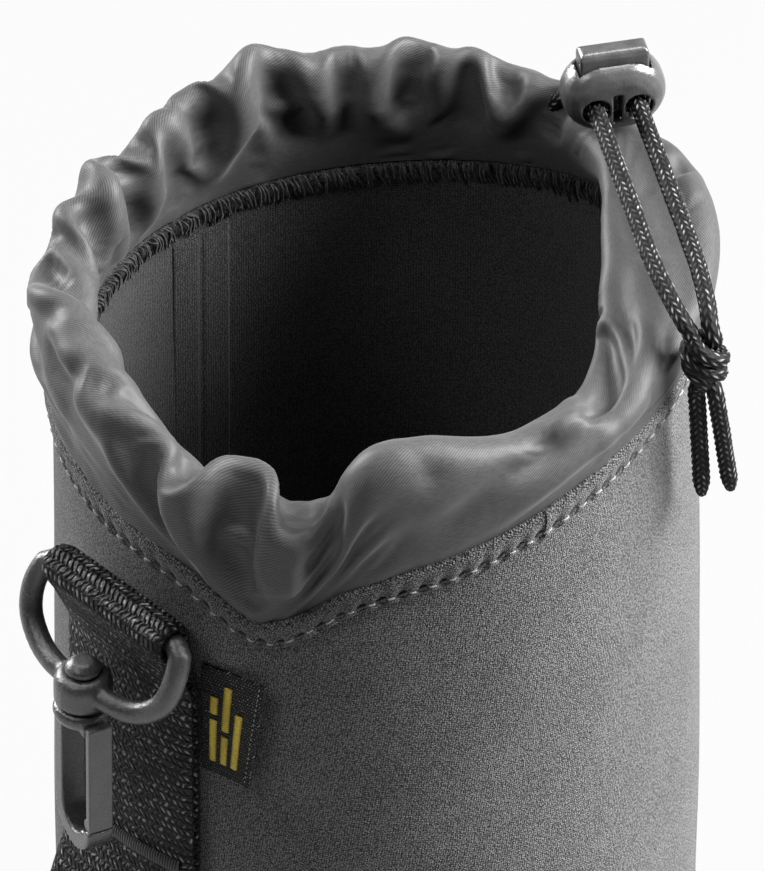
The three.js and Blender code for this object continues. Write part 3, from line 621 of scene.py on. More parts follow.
def make_band():
    lap = BAND_LAP / BODY_RADIUS
    start = math.radians(BAND_JOINT_AT) - lap
    angles = np.linspace(start, start + TAU + 2 * lap, 1081)
    rim = rim_height(angles)[:, None]
    radius = np.array([55.08, 55.6, 55.85, 55.9, 56.2, 56.35, 56.2, 55.7, 55.1])
    height = np.array([-1.0, -1.04, -0.97, -0.8, -0.58, -0.36, -0.16, -0.03, 0.02]) * BAND_HEIGHT
    pull = np.array([0, 0.3, 0.7, 1.0, 0.5, 0.15, 0, 0, 0])
    pinch = (0.5 - 0.5 * np.cos(angles * STITCHES)) ** 1.5
    radius = radius[None, :] - pull[None, :] * (0.15 + 0.75 * pinch[:, None])
    radius = radius + 0.16 * value_noise(radius.shape, (90, 2), 31)
    ends = np.minimum(angles - angles[0], angles[-1] - angles) * BODY_RADIUS
    radius += 0.25 * np.exp(-(ends / 1.2) ** 2)[:, None] * (angles[:, None] < angles.mean())
    points = round_z(radius, angles[:, None], rim + height[None, :])
    uv = np.stack(np.broadcast_arrays((angles * BODY_RADIUS)[:, None], rim + height[None, :] * 1.1), -1)
    uv = np.concatenate([uv, uv[:, :1]], axis=1)
    band = grid_piece("rim_hem", points, uv, False, True)
    finish_piece(band, band_jersey, "knit_band", "rim_band")


def make_stitches():
    # The hem's thread is dark. The pale dashes at each stitch are painted glints on it; the dark tubes between
    # them are that dark thread, laid in the dents, and they also paint the dents' shade.
    pitch = TAU / STITCHES
    stitches, dents = [], []
    for k in range(STITCHES):
        for paths, middle, half, proud in ((stitches, k, 0.62, 55.78), (dents, k + 0.5, 0.85, 55.28)):
            reach = np.linspace(-half, half, 7) * (1 + rng.normal(0, 0.12))
            angle = middle * pitch + rng.normal(0, 0.0015) + reach / BODY_RADIUS
            height = rim_height(angle) - STITCH_LINE * BAND_HEIGHT
            height = height + rng.normal(0, 0.06) + rng.normal(0, 0.1) * reach
            radius = proud + 0.15 * (1 - (reach / half) ** 2)
            paths.append(round_z(radius, angle, height))
    finish_piece(tubes_piece("hem_stitches", stitches, 0.17, 6), pale_thread_and_glint, "thread")
    finish_piece(tubes_piece("hem_dents", dents, 0.3, 6), dark_thread, "thread")


def overlock(name, angles, radius, height_at, length, node):
    """Looped threads over a raw edge, as an overlock machine sews them."""
    paths = []
    for angle in angles:
        angle = angle + rng.normal(0, 0.003)
        top = height_at(angle)
        lean = rng.uniform(0.3, 2.4) / radius
        jitter = rng.normal(0, 0.45, 4)
        places = [
            (radius + 0.05, 0, -length + jitter[0]),
            (radius - 0.45, 0.25 * lean, -0.6 * length),
            (radius - 0.7 + 0.5 * jitter[3], 0.5 * lean, -0.25 * length + jitter[1]),
            (radius - 0.4, 0.75 * lean, 0.1 + 0.5 * jitter[2]),
            (radius + 0.5, lean, 0.2 + 0.5 * jitter[3]),
        ]
        control = [round_z(r, angle + turn, top + z) for r, turn, z in places]
        paths.append(spline(control, 9))
    finish_piece(tubes_piece(name, paths, 0.24), dark_thread, "thread", node)


def make_overlocks():
    pitch = 0.8
    turns = np.arange(0, TAU, pitch / INNER_RADIUS)
    overlock("rim_overlock_threads", turns, INNER_RADIUS - 0.35,
             lambda a: rim_height(a) - 0.2, 3.6, "rim_overlock")
    overlock("base_overlock_threads", turns[::2], INNER_RADIUS - 0.9,
             lambda a: BASE_THICK + 3.1, 2.4, "base_overlock")


def make_seam_tape():
    across = np.linspace(-1, 1, 25)
    angles = math.radians(SEAM_AT) + TAPE_HALF / INNER_RADIUS * across
    rows = np.linspace(0, 1, 60)
    top = rim_height(angles)[:, None] - TAPE_END
    height = TAPE_LOW + (top - TAPE_LOW) * rows[None, :]
    relief = 0.4 * (1 - across**2) - 0.35 * np.exp(-((across / 0.06) ** 2))
    points = round_z(INNER_RADIUS - relief[:, None], angles[:, None], height)
    uv = np.stack(np.broadcast_arrays((angles * INNER_RADIUS)[:, None], height), -1)
    tape = grid_piece("seam_tape", points, uv)
    finish_piece(tape, lining, "seam_tape", "side_seam_tape")
    thicken(tape, 0.12)


make_body()
make_base()
make_band()
make_stitches()
make_overlocks()
make_seam_tape()


CAMERA_SIDE = CAMERA_AZIMUTH - 90

# Collar: height of its top and radii of its outer and inner side, by angle from the camera's side
COLLAR_AT = [
    -180, -165, -157, -150, -138, -126, -116, -104, -92, -78, -64, -54, -46, -36, -24, -14, -7,
    -4, -1, 4, 9, 20, 30, 38, 48, 60, 75, 90, 102, 114, 128, 146, 164,
]
COLLAR_TOP = [
    26, 26, 28.5, 25.5, 22.5, 20, 21, 18, 17.5, 20, 20, 18, 14, 11, 13, 11, 11.5,
    19, 24.5, 26, 25.5, 22.5, 20, 22.5, 21.5, 22.5, 25, 27.5, 29.5, 29, 26, 25.5, 27,
]
COLLAR_OUT = [
    56.3, 56.2, 56.4, 56.2, 56.2, 56.4, 56.8, 57.2, 58.2, 57.5, 56.6, 56.4, 56.4, 56.8, 57, 57, 56.6,
    57, 57.6, 58, 57.5, 56.4, 56.4, 56.4, 56.6, 57, 57.3, 57.8, 58.4, 58.4, 57.4, 56.6, 56.3,
]
COLLAR_LIP = [
    50, 50, 49, 50, 50, 49, 48.5, 48.5, 49, 48, 47, 47, 47, 47, 47, 47, 47,
    47, 46.5, 46, 46, 46, 46, 46.5, 47, 43, 38.5, 38, 39.5, 42, 46, 49, 50,
]


def round_table(values, angles, blur):
    """A table by angle from the camera's side, smoothed, at the given angles."""
    step, wide = 0.5, 60
    fine = np.arange(-180, 180, step)
    at = np.interp(fine, COLLAR_AT, values, period=360)
    kernel = np.exp(-((np.arange(-wide, wide + 1) * step / blur) ** 2))
    kernel /= kernel.sum()
    at = np.convolve(np.concatenate([at[-wide:], at, at[:wide]]), kernel, mode="valid")
    turn = (np.degrees(angles) - CAMERA_SIDE + 180) % 360 - 180
    return np.interp(turn, fine, at, period=360)


def smooth_profile(points, per_segment):
    """Catmull-Rom through the middle axis of an array of profiles."""
    first, last = 2 * points[:, :1] - points[:, 1:2], 2 * points[:, -1:] - points[:, -2:-1]
    padded = np.concatenate([first, points, last], 1)
    rows = []
    for i in range(1, padded.shape[1] - 2):
        corners = [padded[:, i + k - 1] for k in range(4)]
        rows += [catmull(*corners, t) for t in np.linspace(0, 1, per_segment, endpoint=False)]
    rows.append(points[:, -1])
    return np.stack(rows, 1)


CLOTH_ROUND = 370  # millimetres of cloth gathered round the mouth
CLOTH_WIDE = 45  # from the outer seam over the cord to the inner seam
SLIDE = np.array([0.872069, -0.489382])  # the way the lock runs along its strands
LOCK_MIDDLE = (2.4, 51.7, 213.4)
LOCK_ROUND = 7  # radius of its underside
LOCK_FLAT = 2  # half of the flat between its round sides
LOCK_CLEAR = 0.5
LOCK_RUN = (-5, 35)  # millimetres of its way
LOCK_RUN_OUT = 0.1
LOCK_EASE = 1.2  # millimetres over which the cloth gives way to the lock
KNOT_NEAR = 11
OUTER_MOST = 59.0  # radius that the sleeve's outside keeps within
OUTER_AT_KNOT = 56.6
CORD_CLEAR = 1.9
SEAM_ROOM = 1.5  # height over the rim up to which the wall holds the cloth
INNER_MOST = 50.8
MOMENTUM = 0.9
TIE_PASSES = 4
THREAD_STIFF = 0.9
SLANT_STIFF = 0.3
SPARE_ROUND = 0.97
SPARE_ACROSS = 0.98
SPARE_SLANT = 0.98
SHEAR = 0.7  # how far the cloth's slants give way to the sleeve's form
CREASE_GAIN = 1.6
CREASE_END = 4  # millimetres over which a crease dies out

# Creases: reach right and left, height, and a path of degrees from the camera's side and percent across
CREASES = [
    (9, 1.6, 1.8, -158, 30, -157.5, 49, -152.5, 62, -149.5, 82, -146.5, 95),
    (4, 4.5, -2.5, -160, 42, -161, 60, -163.5, 74, -165, 93),
    (2.5, 5, 1.1, -158.5, 45, -162.5, 54, -166, 65, -170, 76),
    (1.5, 2, 1.0, -169.5, 70, -167, 84, -165, 96),
    (1.5, 2, -2.2, -138, 42, -141, 56, -143.5, 64, -145.5, 74, -145, 86),
    (6, 2.2, 1.7, -135.5, 36, -137, 48, -140, 57, -141.5, 63, -141.5, 78),
    (6, 0.9, 1.4, -135, 55, -131, 71, -130, 88, -128.5, 100),
    (4, 3, 2.2, -120, 30, -119.5, 46, -115, 53, -114.5, 63, -118.5, 86, -118, 100),
    (2, 3, -2.4, -121, 44, -119.5, 63, -123.5, 84, -124.5, 100),
    (2.5, 1.5, -2.1, -116, 50, -109, 60, -104.5, 69, -101, 86),
    (3, 2, 1.8, -112.5, 36, -104, 57, -97, 67, -84, 64),
    (2, 3, -2.6, -98, 36, -88, 52, -80, 60),
    (3, 2.5, 2.0, -101, 28, -97, 34, -85, 50, -77, 53, -69.5, 61, -64, 66),
    (3.5, 3.5, 1.6, -65, 38, -56.5, 35, -52.5, 32.5, -48.5, 29, -43, 22),
    (3, 2.5, 1.5, -65, 37, -57, 42, -53, 45, -47.5, 53, -41, 50, -37, 46.7, -31, 48),
    (2.5, 2.5, -1.5, -70, 36, -60.5, 43, -55, 49, -50, 58, -43, 57, -36, 54),
    (2, 2.5, 1.5, -80, 42, -69.5, 40, -61, 37),
    (2, 2, -1.5, -78, 37, -70, 33.5, -62, 31),
    (1.2, 1.2, -0.6, -40, 48, -37, 34, -35, 19, -34, 4),
    (5, 1.8, 2.4, -27, 62, -29.5, 49, -30.8, 40, -31.2, 28, -30.5, 15, -28, 6, -21, 3),
    (2.4, 2.4, -4.6, -25, 60, -26.5, 41, -27, 28, -25.5, 18, -22, 8),
    (0.9, 4, 1.0, -21, 50, -23.2, 39, -23.2, 30, -22, 12),
    (1.5, 1.2, 2.2, -26, 56, -21.5, 57, -19.5, 46),
    (1.3, 1.5, -2.6, -16.5, 48, -20.5, 47.5, -22.5, 42),
    (1.4, 1.8, 2.0, -15.5, 46, -15.5, 33, -15.5, 23, -14, 8),
    (2, 1.5, -0.3, -18, 46, -18, 32, -17.5, 10),
    (1.5, 1.5, -1.4, -14.5, 47, -9.5, 50),
    (9, 7, 1.5, -6, 60, -3, 44, 3, 30),
    (3, 5, -1.0, 4, 60, 7, 46, 11, 30),
    (4, 3, 1.5, 0, 3, 12, 6, 23, 12, 33.5, 21, 42.5, 25, 56, 27),
    (3, 4, -1.5, 0, 12, 13, 17, 24, 32, 38, 38),
    (1.5, 2, -2.5, 45.5, 52, 40, 37),
    (2, 2, -2.6, 44, 40, 54, 58, 70, 70),
    (5, 5, 1.5, 100, 60, 81.5, 47.5, 69, 40, 50, 32),
    (3, 4, -2.4, 103, 60, 108, 46, 113, 24),
    (3, 4, 1.6, 96, 62, 100, 46, 103, 26),
    (1.5, 2, 0.9, -168.5, 53, -169.5, 66, -171, 77),
    (0.9, 4, 0.9, -161, 70, -171, 73.5, -178.5, 72.5, -184, 76),
    (7, 2, 1.3, 172.5, 36, 173.5, 49, 178, 62, 179, 70, 177.5, 79, 174.5, 90),
    (2.5, 3, -1.8, 172, 42, 172.5, 62, 174, 69, 176.5, 82),
    (4, 4, 1.0, 168, 42, 167.5, 59, 164, 76),
    (3, 2.5, -1.4, 162.5, 50, 162, 71, 159, 90),
    (2.5, 4, 1.3, 161.5, 50, 158, 68, 156.5, 81, 154, 82, 151, 62),
    (2.5, 2.5, -1.6, 157.5, 42, 154.5, 50, 151.5, 68),
    (2.5, 3, 1.3, 149.5, 40, 149.5, 59, 152, 80),
    (2, 3, -1.4, 148, 46, 144, 67, 141, 84),
]


def crease_lift(angles, share, reach_right, reach_left, height, *path):
    """A straight-sided crease; its sides are named as seen along the path, from the cloth's outside."""
    arc = BODY_RADIUS * math.pi / 180
    degrees, percents = np.reshape(path, (-1, 2)).T
    corners = np.stack([degrees * arc, percents / 100 * CLOTH_WIDE], 1)
    turn = np.degrees(angles) - CAMERA_SIDE
    middle = degrees.mean()
    across = ((turn - middle + 180) % 360 - 180 + middle)[:, None] * arc
    along = share * CLOTH_WIDE
    starts = arc_reach(corners)
    fade = min(CREASE_END, starts[-1] / 3)
    nearest = np.full(share.shape, np.inf)
    lift = np.zeros(share.shape)
    for (x0, y0), (x1, y1), start in zip(corners[:-1], corners[1:], starts):
        dx, dy = x1 - x0, y1 - y0
        length = math.hypot(dx, dy)
        part = np.clip(((across - x0) * dx + (along - y0) * dy) / length**2, 0, 1)
        off_x, off_y = across - x0 - part * dx, along - y0 - part * dy
        away = np.hypot(off_x, off_y)
        side = np.where(dx * off_y - dy * off_x < 0, reach_right, reach_left)
        ends = np.minimum(start + part * length, starts[-1] - start - part * length)
        made = height * np.clip(1 - away / side, 0, 1) * np.clip(ends / fade, 0, 1)
        lift = np.where(away < nearest, made, lift)
        nearest = np.minimum(nearest, away)
    return lift


CASING_STEPS = 720
CASING_DROP = 11.0  # from the sleeve's top down to the cord
CASING_LEAST = 2.6  # from the rim up


def casing_line(angles):
    """Radius and height of the cord's middle inside the sleeve."""
    out, lip, top = (round_table(table, angles, 8.0) for table in (COLLAR_OUT, COLLAR_LIP, COLLAR_TOP))
    height = np.maximum(AXIS_HEIGHT + top - CASING_DROP, rim_height(angles) + CASING_LEAST)
    return 0.5 * (out + lip), height


CASING_RADIUS, CASING_HEIGHT = casing_line(np.arange(CASING_STEPS) * TAU / CASING_STEPS)


def lock_room(cloth):
    """Height that the lock leaves free over each point of the cloth, along the lock's whole way."""
    flat = cloth[..., :2] - np.array(LOCK_MIDDLE[:2])
    ahead = flat @ SLIDE
    aside = np.abs(flat @ np.array([-SLIDE[1], SLIDE[0]]))
    depth = np.sqrt(np.clip(LOCK_ROUND**2 - np.clip(aside - LOCK_FLAT, 0, None) ** 2, 0, None))
    past = np.clip(np.maximum(ahead - LOCK_RUN[1], LOCK_RUN[0] - ahead), 0, None)
    return LOCK_MIDDLE[2] - depth - LOCK_CLEAR + LOCK_RUN_OUT * past**2


def keep_clear(cloth):
    """Cloth stays under the lock's way, inside the knot, round the cord and on its side of the wall."""
    cloth[..., 2] = np.minimum(cloth[..., 2], lock_room(cloth))
    half = cloth.shape[1] // 2
    x, y = cloth[:, :half, 0], cloth[:, :half, 1]
    outer = np.hypot(x, y)
    near_knot = np.hypot(x - KNOT_CENTRE[0], y - KNOT_CENTRE[1]) < KNOT_NEAR
    most = np.where(near_knot, OUTER_AT_KNOT, OUTER_MOST)
    cloth[:, :half, :2] *= (np.minimum(outer, most) / outer)[..., None]
    reach = np.hypot(cloth[..., 0], cloth[..., 1])
    turn = np.arctan2(cloth[..., 1], cloth[..., 0])
    place = np.round(turn / TAU * CASING_STEPS).astype(int) % CASING_STEPS
    away, lift = reach - CASING_RADIUS[place], cloth[..., 2] - CASING_HEIGHT[place]
    size = np.maximum(np.hypot(away, lift), 1e-6)
    grow = np.clip(CORD_CLEAR - size, 0, None) / size
    cloth[..., :2] *= (1 + away * grow / reach)[..., None]
    cloth[..., 2] += lift * grow
    low = cloth[..., 2] < rim_height(turn) + SEAM_ROOM
    outside = np.arange(cloth.shape[1]) < half
    least, most = np.where(low & outside, BODY_RADIUS, 0), np.where(low & ~outside, INNER_MOST, np.inf)
    reach = np.hypot(cloth[..., 0], cloth[..., 1])
    cloth[..., :2] *= (np.clip(reach, least, most) / reach)[..., None]


def collar_shape(around, rows):
    """The sleeve's smooth form, before it has folds."""
    angles = np.linspace(0, TAU, around, endpoint=False)
    rim = rim_height(angles)
    top = AXIS_HEIGHT + round_table(COLLAR_TOP, angles, 3.0)
    out = round_table(COLLAR_OUT, angles, 4.0)
    lip = round_table(COLLAR_LIP, angles, 5.0)
    rise = top - rim
    profile = [
        (np.full_like(rim, 55.0), rim - 0.4),
        (out - 0.9, rim + 0.22 * rise),
        (out, rim + 0.58 * rise),
        (out - 1.3, rim + 0.86 * rise),
        (0.55 * out + 0.45 * lip, top),
        (lip + 1.0, rim + 0.86 * rise),
        (lip, rim + 0.6 * rise),
        (lip + 0.45 * (50.6 - lip), rim + 0.28 * rise),
        (np.full_like(rim, 50.7), rim + 0.1),
    ]
    dense = smooth_profile(np.stack([round_z(r, angles, z) for r, z in profile], 1), 12)
    reach = norm(np.diff(dense, axis=1), axis=2).cumsum(1)
    reach = np.concatenate([np.zeros((around, 1)), reach], 1)
    even = np.empty((around, rows, 3))
    for k in range(around):
        at = np.linspace(0, reach[k, -1], rows)
        even[k] = np.stack([np.interp(at, reach[k], dense[k, :, c]) for c in range(3)], -1)
    return angles, even


def creased(around, rows):
    """The sleeve's form with its creases, and the cloth's lengths round, across and aslant."""
    angles, smooth = collar_shape(around, rows)
    share = np.broadcast_to(np.linspace(0, 1, rows), (around, rows))
    lift = CREASE_GAIN * sum(crease_lift(angles, share, *crease) for crease in CREASES)
    ahead = np.roll(smooth, -1, axis=0)
    normal = np.cross(ahead - np.roll(smooth, 1, axis=0), np.gradient(smooth, axis=1))
    normal /= norm(normal, axis=2)[:, :, None]
    shape = smooth + normal * (lift * np.sin(math.pi * share) ** 0.5)[:, :, None]
    shape[..., 2] -= LOCK_EASE * np.logaddexp(0, (shape[..., 2] - lock_room(shape)) / LOCK_EASE)
    widths = norm(np.roll(shape, -1, axis=0) - shape, axis=2)
    reach = around // 30
    kernel = np.hanning(2 * reach + 1) / np.hanning(2 * reach + 1).sum()
    padded = np.concatenate([widths[-reach:], widths, widths[:reach]])
    widths = SPARE_ROUND * np.stack([np.convolve(column, kernel, "valid") for column in padded.T], 1)
    tall = norm(np.diff(shape, axis=1), axis=2)
    tall = SPARE_ACROSS * np.broadcast_to(tall.mean(1, keepdims=True), tall.shape)
    square = np.hypot(0.5 * (widths[:, :-1] + widths[:, 1:]), tall)
    slants = [SHEAR * SPARE_SLANT * norm(far - near, axis=2) + (1 - SHEAR) * square
              for near, far in ((smooth[:, :-1], ahead[:, 1:]), (smooth[:, 1:], ahead[:, :-1]))]
    return shape, widths, tall, slants


def even_out(near, far, rest, stiffness, only_short=False):
    """Moves pairs of points towards their distance at rest."""
    gap = far - near
    size = np.maximum(norm(gap, axis=-1, keepdims=True), 1e-9)
    off = np.minimum(size - rest, 0) if only_short else size - rest
    move = 0.5 * stiffness * gap * (off / size)
    near += move
    far -= move


def tie_round(cloth, widths, skip, stiffness, only_short=False):
    rest = sum(np.roll(widths, -k, axis=0) for k in range(skip))
    for start in (0, skip):
        turned = np.roll(cloth, -start, axis=0)
        pairs = turned.reshape(-1, 2, skip, *cloth.shape[1:])
        lengths = np.roll(rest, -start, axis=0).reshape(-1, 2, skip, cloth.shape[1])[:, 0, :, :, None]
        even_out(pairs[:, 0], pairs[:, 1], lengths, stiffness, only_short)
        cloth[:] = np.roll(turned, start, axis=0)


def tie_across(cloth, tall, skip, stiffness, only_short=False):
    rest = sum(tall[:, k:tall.shape[1] - skip + 1 + k] for k in range(skip))
    for start in range(2 * skip):
        near = cloth[:, start:-skip:2 * skip]
        count = near.shape[1]
        far = cloth[:, start + skip::2 * skip][:, :count]
        even_out(near, far, rest[:, start::2 * skip][:, :count, None], stiffness, only_short)


def tie_slant(cloth, slants, stiffness):
    for start in (0, 1):
        turned = np.roll(cloth, -start, axis=0)
        up, down = (np.roll(rest, -start, axis=0)[0::2, :, None] for rest in slants)
        even_out(turned[0::2, :-1], turned[1::2, 1:], up, stiffness)
        even_out(turned[0::2, 1:], turned[1::2, :-1], down, stiffness)
        cloth[:] = np.roll(turned, start, axis=0)


def settle(cloth, steps, pull, bends):
    """Lets the cloth keep its lengths and resist bending while it is drawn to its creased form."""
    shape, widths, tall, slants = creased(*cloth.shape[:2])
    before = cloth.copy()
    for _ in range(steps):
        speed = MOMENTUM * (cloth - before)
        before = cloth.copy()
        cloth = cloth + speed + pull * (shape - cloth)
        for _ in range(TIE_PASSES):
            tie_round(cloth, widths, 1, THREAD_STIFF)
            tie_across(cloth, tall, 1, THREAD_STIFF)
            tie_slant(cloth, slants, SLANT_STIFF)
            for skip, stiffness in bends:
                tie_round(cloth, widths, skip, stiffness, True)
                tie_across(cloth, tall, skip, stiffness, True)
            cloth[:, 0], cloth[:, -1] = shape[:, 0], shape[:, -1]
        keep_clear(cloth)
    return cloth


def finer(cloth):
    """The same cloth with twice as many points each way."""
    ahead, behind = np.roll(cloth, -1, axis=0), np.roll(cloth, 1, axis=0)
    between = (9 * (cloth + ahead) - behind - np.roll(cloth, -2, axis=0)) / 16
    twice = np.stack([cloth, between], 1).reshape(-1, *cloth.shape[1:])
    first, last = 2 * twice[:, :1] - twice[:, 1:2], 2 * twice[:, -1:] - twice[:, -2:-1]
    ends = np.concatenate([first, twice, last], 1)
    made = np.zeros((twice.shape[0], 2 * twice.shape[1] - 1, 3))
    made[:, 0::2] = twice
    made[:, 1::2] = (9 * (ends[:, 1:-2] + ends[:, 2:-1]) - ends[:, :-3] - ends[:, 3:]) / 16
    return made


def collar_cloth():
    """Points of the gathered cloth, round the mouth and from its outer to its inner seam."""
    cloth = creased(240, 41)[0]
    cloth[..., 2] += 0.3 * value_noise(cloth.shape[:2], (40, 5), 43)
    cloth = settle(cloth, 120, 0.05, ((3, 0.2), (6, 0.2)))
    return settle(finer(cloth), 50, 0.02, ((2, 0.12), (4, 0.08), (8, 0.04)))


def make_collar():
    cloth = collar_cloth()
    u = np.linspace(0, CLOTH_ROUND, len(cloth) + 1)
    v = np.linspace(0, CLOTH_WIDE, cloth.shape[1])
    collar = grid_piece("gathered_collar", cloth, uv_grid(u, v), True, False)
    finish_piece(collar, nylon, "nylon", "collar")


# The cord inside the sleeve, from one eyelet round to the other
EYELET_LEFT = [[-10.2, 51.1, 203.6], [-9.6, 52.2, 205.4], [-9.3, 52.6, 207.3]]
EYELET_RIGHT = [[-4.6, 54.4, 202.8], [-5.4, 56.7, 203.9], [-5.7, 58.1, 206.0]]


def make_casing_cord():
    angles = np.radians(np.linspace(108, 447, 60))
    radius, height = casing_line(angles)
    route = np.vstack([EYELET_LEFT[::-1], round_z(radius, angles, height), EYELET_RIGHT])
    piece = braid_piece("casing_braid", spline(route, 900), 5)
    finish_piece(piece, braid, "cord_braid", "casing_cord")


make_collar()
make_casing_cord()


# Moulded plastic: the solids' shapes with their edges melted round
def moulded(node, name, body, look, voxel, passes):
    piece = link(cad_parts[node].data.copy(), name)
    remesh = piece.modifiers.new("remesh", "REMESH")
    remesh.mode = "VOXEL"
    remesh.voxel_size = voxel * MM
    smooth = piece.modifiers.new("smooth", "SMOOTH")
    smooth.factor = 0.5
    smooth.iterations = passes
    bpy.context.view_layer.update()
    shaped = bpy.data.meshes.new_from_object(piece.evaluated_get(bpy.context.evaluated_depsgraph_get()))
    piece.modifiers.clear()
    piece.data = shaped
    shaped.polygons.foreach_set("use_smooth", [True] * len(shaped.polygons))
    finish_piece(piece, look, "plastic", node, body=body)


moulded("swivel_eye", "eye_ring", "eye", plastic, 0.4, 6)
moulded("snap_hook", "hook_body", "hook", plastic, 0.3, 4)
moulded("hook_gate", "hook_leaf", "gate", plastic, 0.25, 3)
moulded("lock_barrel", "cord_lock_barrel", "lock", lock_plastic, 0.25, 5)
moulded("lock_button", "cord_lock_button", "button", lock_plastic, 0.25, 4)
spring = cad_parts["lock_spring"]
spring.data.materials.clear()
spring.data.materials.append(wire)


# Strap
def lay_round_body(points):
    """Webbing follows the round body where it lies on it, and is straight across where it stands off."""
    x, away, z = points[..., 0], points[..., 1], points[..., 2]
    near = 1 - smoothstep(away, FRONT_LAYER + WEB_THICK, FRONT_LAYER + BELT_GAP)
    below = 1 - smoothstep(z, SEWN_TOP - 1, BAR_HEIGHT - LOOP_RADIUS - WEB_THICK)
    share = near * below
    r = BODY_RADIUS + away
    turn = x / BODY_RADIUS
    wrapped_x = x * (1 - share) + r * np.sin(turn) * share
    wrapped_y = -r * (1 - share) - r * np.cos(turn) * share
    return np.stack([wrapped_x, wrapped_y, z], -1)


def strap_line():
    line = [(BACK_LAYER, z) for z in np.linspace(STRAP_BOTTOM, SEWN_TOP, 24)]
    bar = BACK_LAYER + LOOP_RADIUS
    for angle in np.linspace(0, math.pi, 17):
        line.append((bar - LOOP_RADIUS * math.cos(angle), BAR_HEIGHT + LOOP_RADIUS * math.sin(angle)))
    line += [(FRONT_LAYER + 1.9, BAR_HEIGHT - 5), (FRONT_LAYER + 0.6, SEWN_TOP + 3), (FRONT_LAYER, SEWN_TOP)]
    line += [(FRONT_LAYER, z) for z in np.linspace(SEWN_TOP - 5, BELT_TACK_HIGH + 2, 8)]
    for share in np.linspace(0, 1, 25):
        swell = BELT_GAP * math.sin(math.pi * share) ** 1.5
        line.append((FRONT_LAYER + swell, BELT_TACK_HIGH + (BELT_TACK_LOW - BELT_TACK_HIGH) * share))
    line.append((FRONT_LAYER, STRAP_BOTTOM))
    flat = np.array([(0, a, z) for a, z in line])
    return spline(flat, 420)


def make_strap():
    line = strap_line()
    ahead = np.gradient(line, axis=0)
    ahead /= norm(ahead, axis=1)[:, None]
    out = np.stack([np.zeros(len(line)), ahead[:, 2], -ahead[:, 1]], 1)
    across = np.linspace(-1, 1, 41)
    half = WEB_THICK / 2
    edge = half * np.sqrt(np.clip(1 - np.abs(across) ** 12, 0.12, 1))
    selvage = 0.10 * np.exp(-((np.abs(across) - 0.88) / 0.05) ** 2)
    rounds = []
    for side in (1, -1):
        offset = side * (edge + selvage)
        layer = line[:, None] + out[:, None] * offset[None, :, None]
        layer[..., 0] = across[None, :] * WEB_WIDTH / 2
        rounds.append(layer if side > 0 else layer[:, ::-1])
    points = lay_round_body(np.concatenate(rounds, 1))
    front = across * WEB_WIDTH / 2
    u = np.concatenate([front, front[::-1] + BACK_UV, [BACK_UV + WEB_WIDTH]])
    uv = uv_grid(arc_reach(line), u)[..., ::-1]
    strap = grid_piece("webbing_strap", points, uv, False, True)
    finish_piece(strap, webbing, "webbing", "strap")


def make_tacks():
    front = FRONT_LAYER + WEB_THICK / 2 + 0.55
    for name, middle, node in (("tack_top", BELT_TACK_HIGH + 3, "belt_bartack_top"),
                               ("tack_bottom", BELT_TACK_LOW - 3, "belt_bartack_bottom")):
        rows = []
        for x in TACK_FROM + TACK_PITCH * np.arange(TACK_STITCHES):
            row = [(x, front - 0.3, middle - TACK_HALF), (x + 0.2, front, middle),
                   (x + 0.25, front - 0.3, middle + TACK_HALF)]
            rows.append(lay_round_body(spline(row, 7)))
        finish_piece(tubes_piece(name, rows, 0.26), dark_thread, "thread", node)


make_strap()
make_tacks()


# Label
LABEL_FROM = -90 + math.degrees(15.3 / BODY_RADIUS)
LABEL_WIDE = 11
LABEL_TALL = 23
LABEL_LOW = 130
BARS = ((2.6, 3, 12), (2.6, 13.5, 17), (5.0, 3, 9), (5.0, 10.5, 20), (7.4, 3, 15))  # across, from, to
BAR_HALF = 0.75
THREAD_LIFT = 0.12


def label_point(across, up, lift):
    """A place on the label: millimetres out from its sewn edge, up from its bottom, and off its face."""
    leaned = across * (1 + 0.012 * (up - LABEL_TALL / 2))
    angle = math.radians(LABEL_FROM) + leaned / BODY_RADIUS
    stand = 0.5 + 2.0 * (across / LABEL_WIDE) ** 2 + 0.3 * np.sin(up / LABEL_TALL * math.pi)
    return round_z(BODY_RADIUS + stand + lift, angle, LABEL_LOW + up + 0.06 * across)


def make_label():
    flat = uv_grid(np.linspace(0, LABEL_WIDE, 34), np.linspace(0, LABEL_TALL, 60))
    label = grid_piece("folded_label", label_point(flat[..., 0], flat[..., 1], 0.0), flat)
    weave = webbing_look("label_weave", 0.008, 0.5, 0.6, 40, 0.05)
    finish_piece(label, weave, "label", "woven_label")
    thicken(label, 0.6)
    shades = (0.72, 0.54, 0.04), (0.93, 0.76, 0.13)
    yellow, _ = mottled("yellow_thread", (0.75, 0.55, 0.06), 0.6, 2.0, *shades, 0.1, Sheen_Weight=0.2)
    bars = [[label_point(column + s, z, THREAD_LIFT) for s in np.linspace(-BAR_HALF, BAR_HALF, 4)]
            for column, low, high in BARS for z in np.arange(low, high, 0.42)]
    finish_piece(tubes_piece("label_bars", bars, 0.22), yellow.material, "label")
    dots = [[label_point(10.2, z + s, THREAD_LIFT) for s in (0, 0.25, 0.5)]
            for z in np.arange(1.0, 22.5, 1.1)]
    finish_piece(tubes_piece("label_edge_stitches", dots, 0.14), pale_thread_and_glint, "thread")


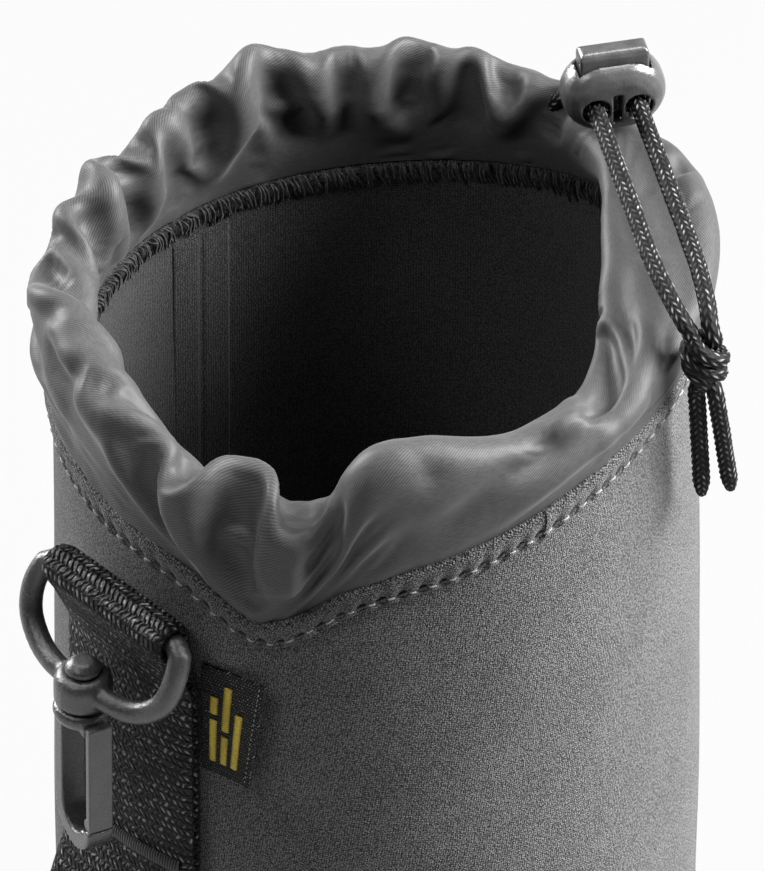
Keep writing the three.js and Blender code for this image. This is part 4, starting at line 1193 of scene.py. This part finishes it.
make_label()


# Floor and light
def make_floor():
    mesh = bpy.data.meshes.new("floor")
    reach = 6.0
    corners = [(-reach, -reach, 0), (reach, -reach, 0), (reach, reach, 0), (-reach, reach, 0)]
    mesh.from_pydata(corners, [], [(0, 1, 2, 3)])
    floor = link(mesh, "floor")
    look, _ = mottled("floor_white", grey(0.24), 0.9, 0.002, grey(0.23), grey(0.25))
    path = look.node("ShaderNodeLightPath")
    seen = look.math("ADD", path.outputs["Is Camera Ray"], path.outputs["Is Glossy Ray"])
    seen = look.math("ADD", seen, path.outputs["Is Transmission Ray"], clamp=True)
    glow = look.node("ShaderNodeEmission", {"Color": (1, 1, 1, 1), "Strength": 1.0})
    share = look.math("MULTIPLY", seen, 0.85)
    mix = look.node("ShaderNodeMixShader", {0: share, 1: look.shader.outputs[0], 2: glow.outputs[0]})
    look.tree.links.new(mix.outputs[0], look.tree.nodes["Material Output"].inputs["Surface"])
    floor.data.materials.append(look.material)


LIGHT_AIM = Vector((0, 0, 0.15))
LIGHT_DISTANCE = 0.9
WORLD_STRENGTH = 0.035


def soft_light(name, azimuth, elevation, size, power):
    """A square soft light; azimuth is counted from the camera's side, to the right."""
    away = direction(CAMERA_AZIMUTH + azimuth, elevation)
    data = bpy.data.lights.new(name, "AREA")
    data.energy = power
    data.size = size
    lamp = link(data, name)
    lamp.location = LIGHT_AIM + away * LIGHT_DISTANCE
    lamp.rotation_euler = away.to_track_quat("Z", "Y").to_euler()


make_floor()
soft_light("key_right", 93, 36, 0.6, 32)
soft_light("rim_left", -130, 15, 0.35, 11)
soft_light("back_left", -140, 55, 0.3, 2)
soft_light("over", 120, 80, 0.3, 4)
soft_light("front", -62, 52, 0.3, 2.4)
world = bpy.data.worlds.new("studio")
world.use_nodes = True
background = world.node_tree.nodes["Background"]
background.inputs["Color"].default_value = (1, 1, 1, 1)
background.inputs["Strength"].default_value = WORLD_STRENGTH
bpy.context.scene.world = world
bpy.context.scene.view_settings.view_transform = "Standard"
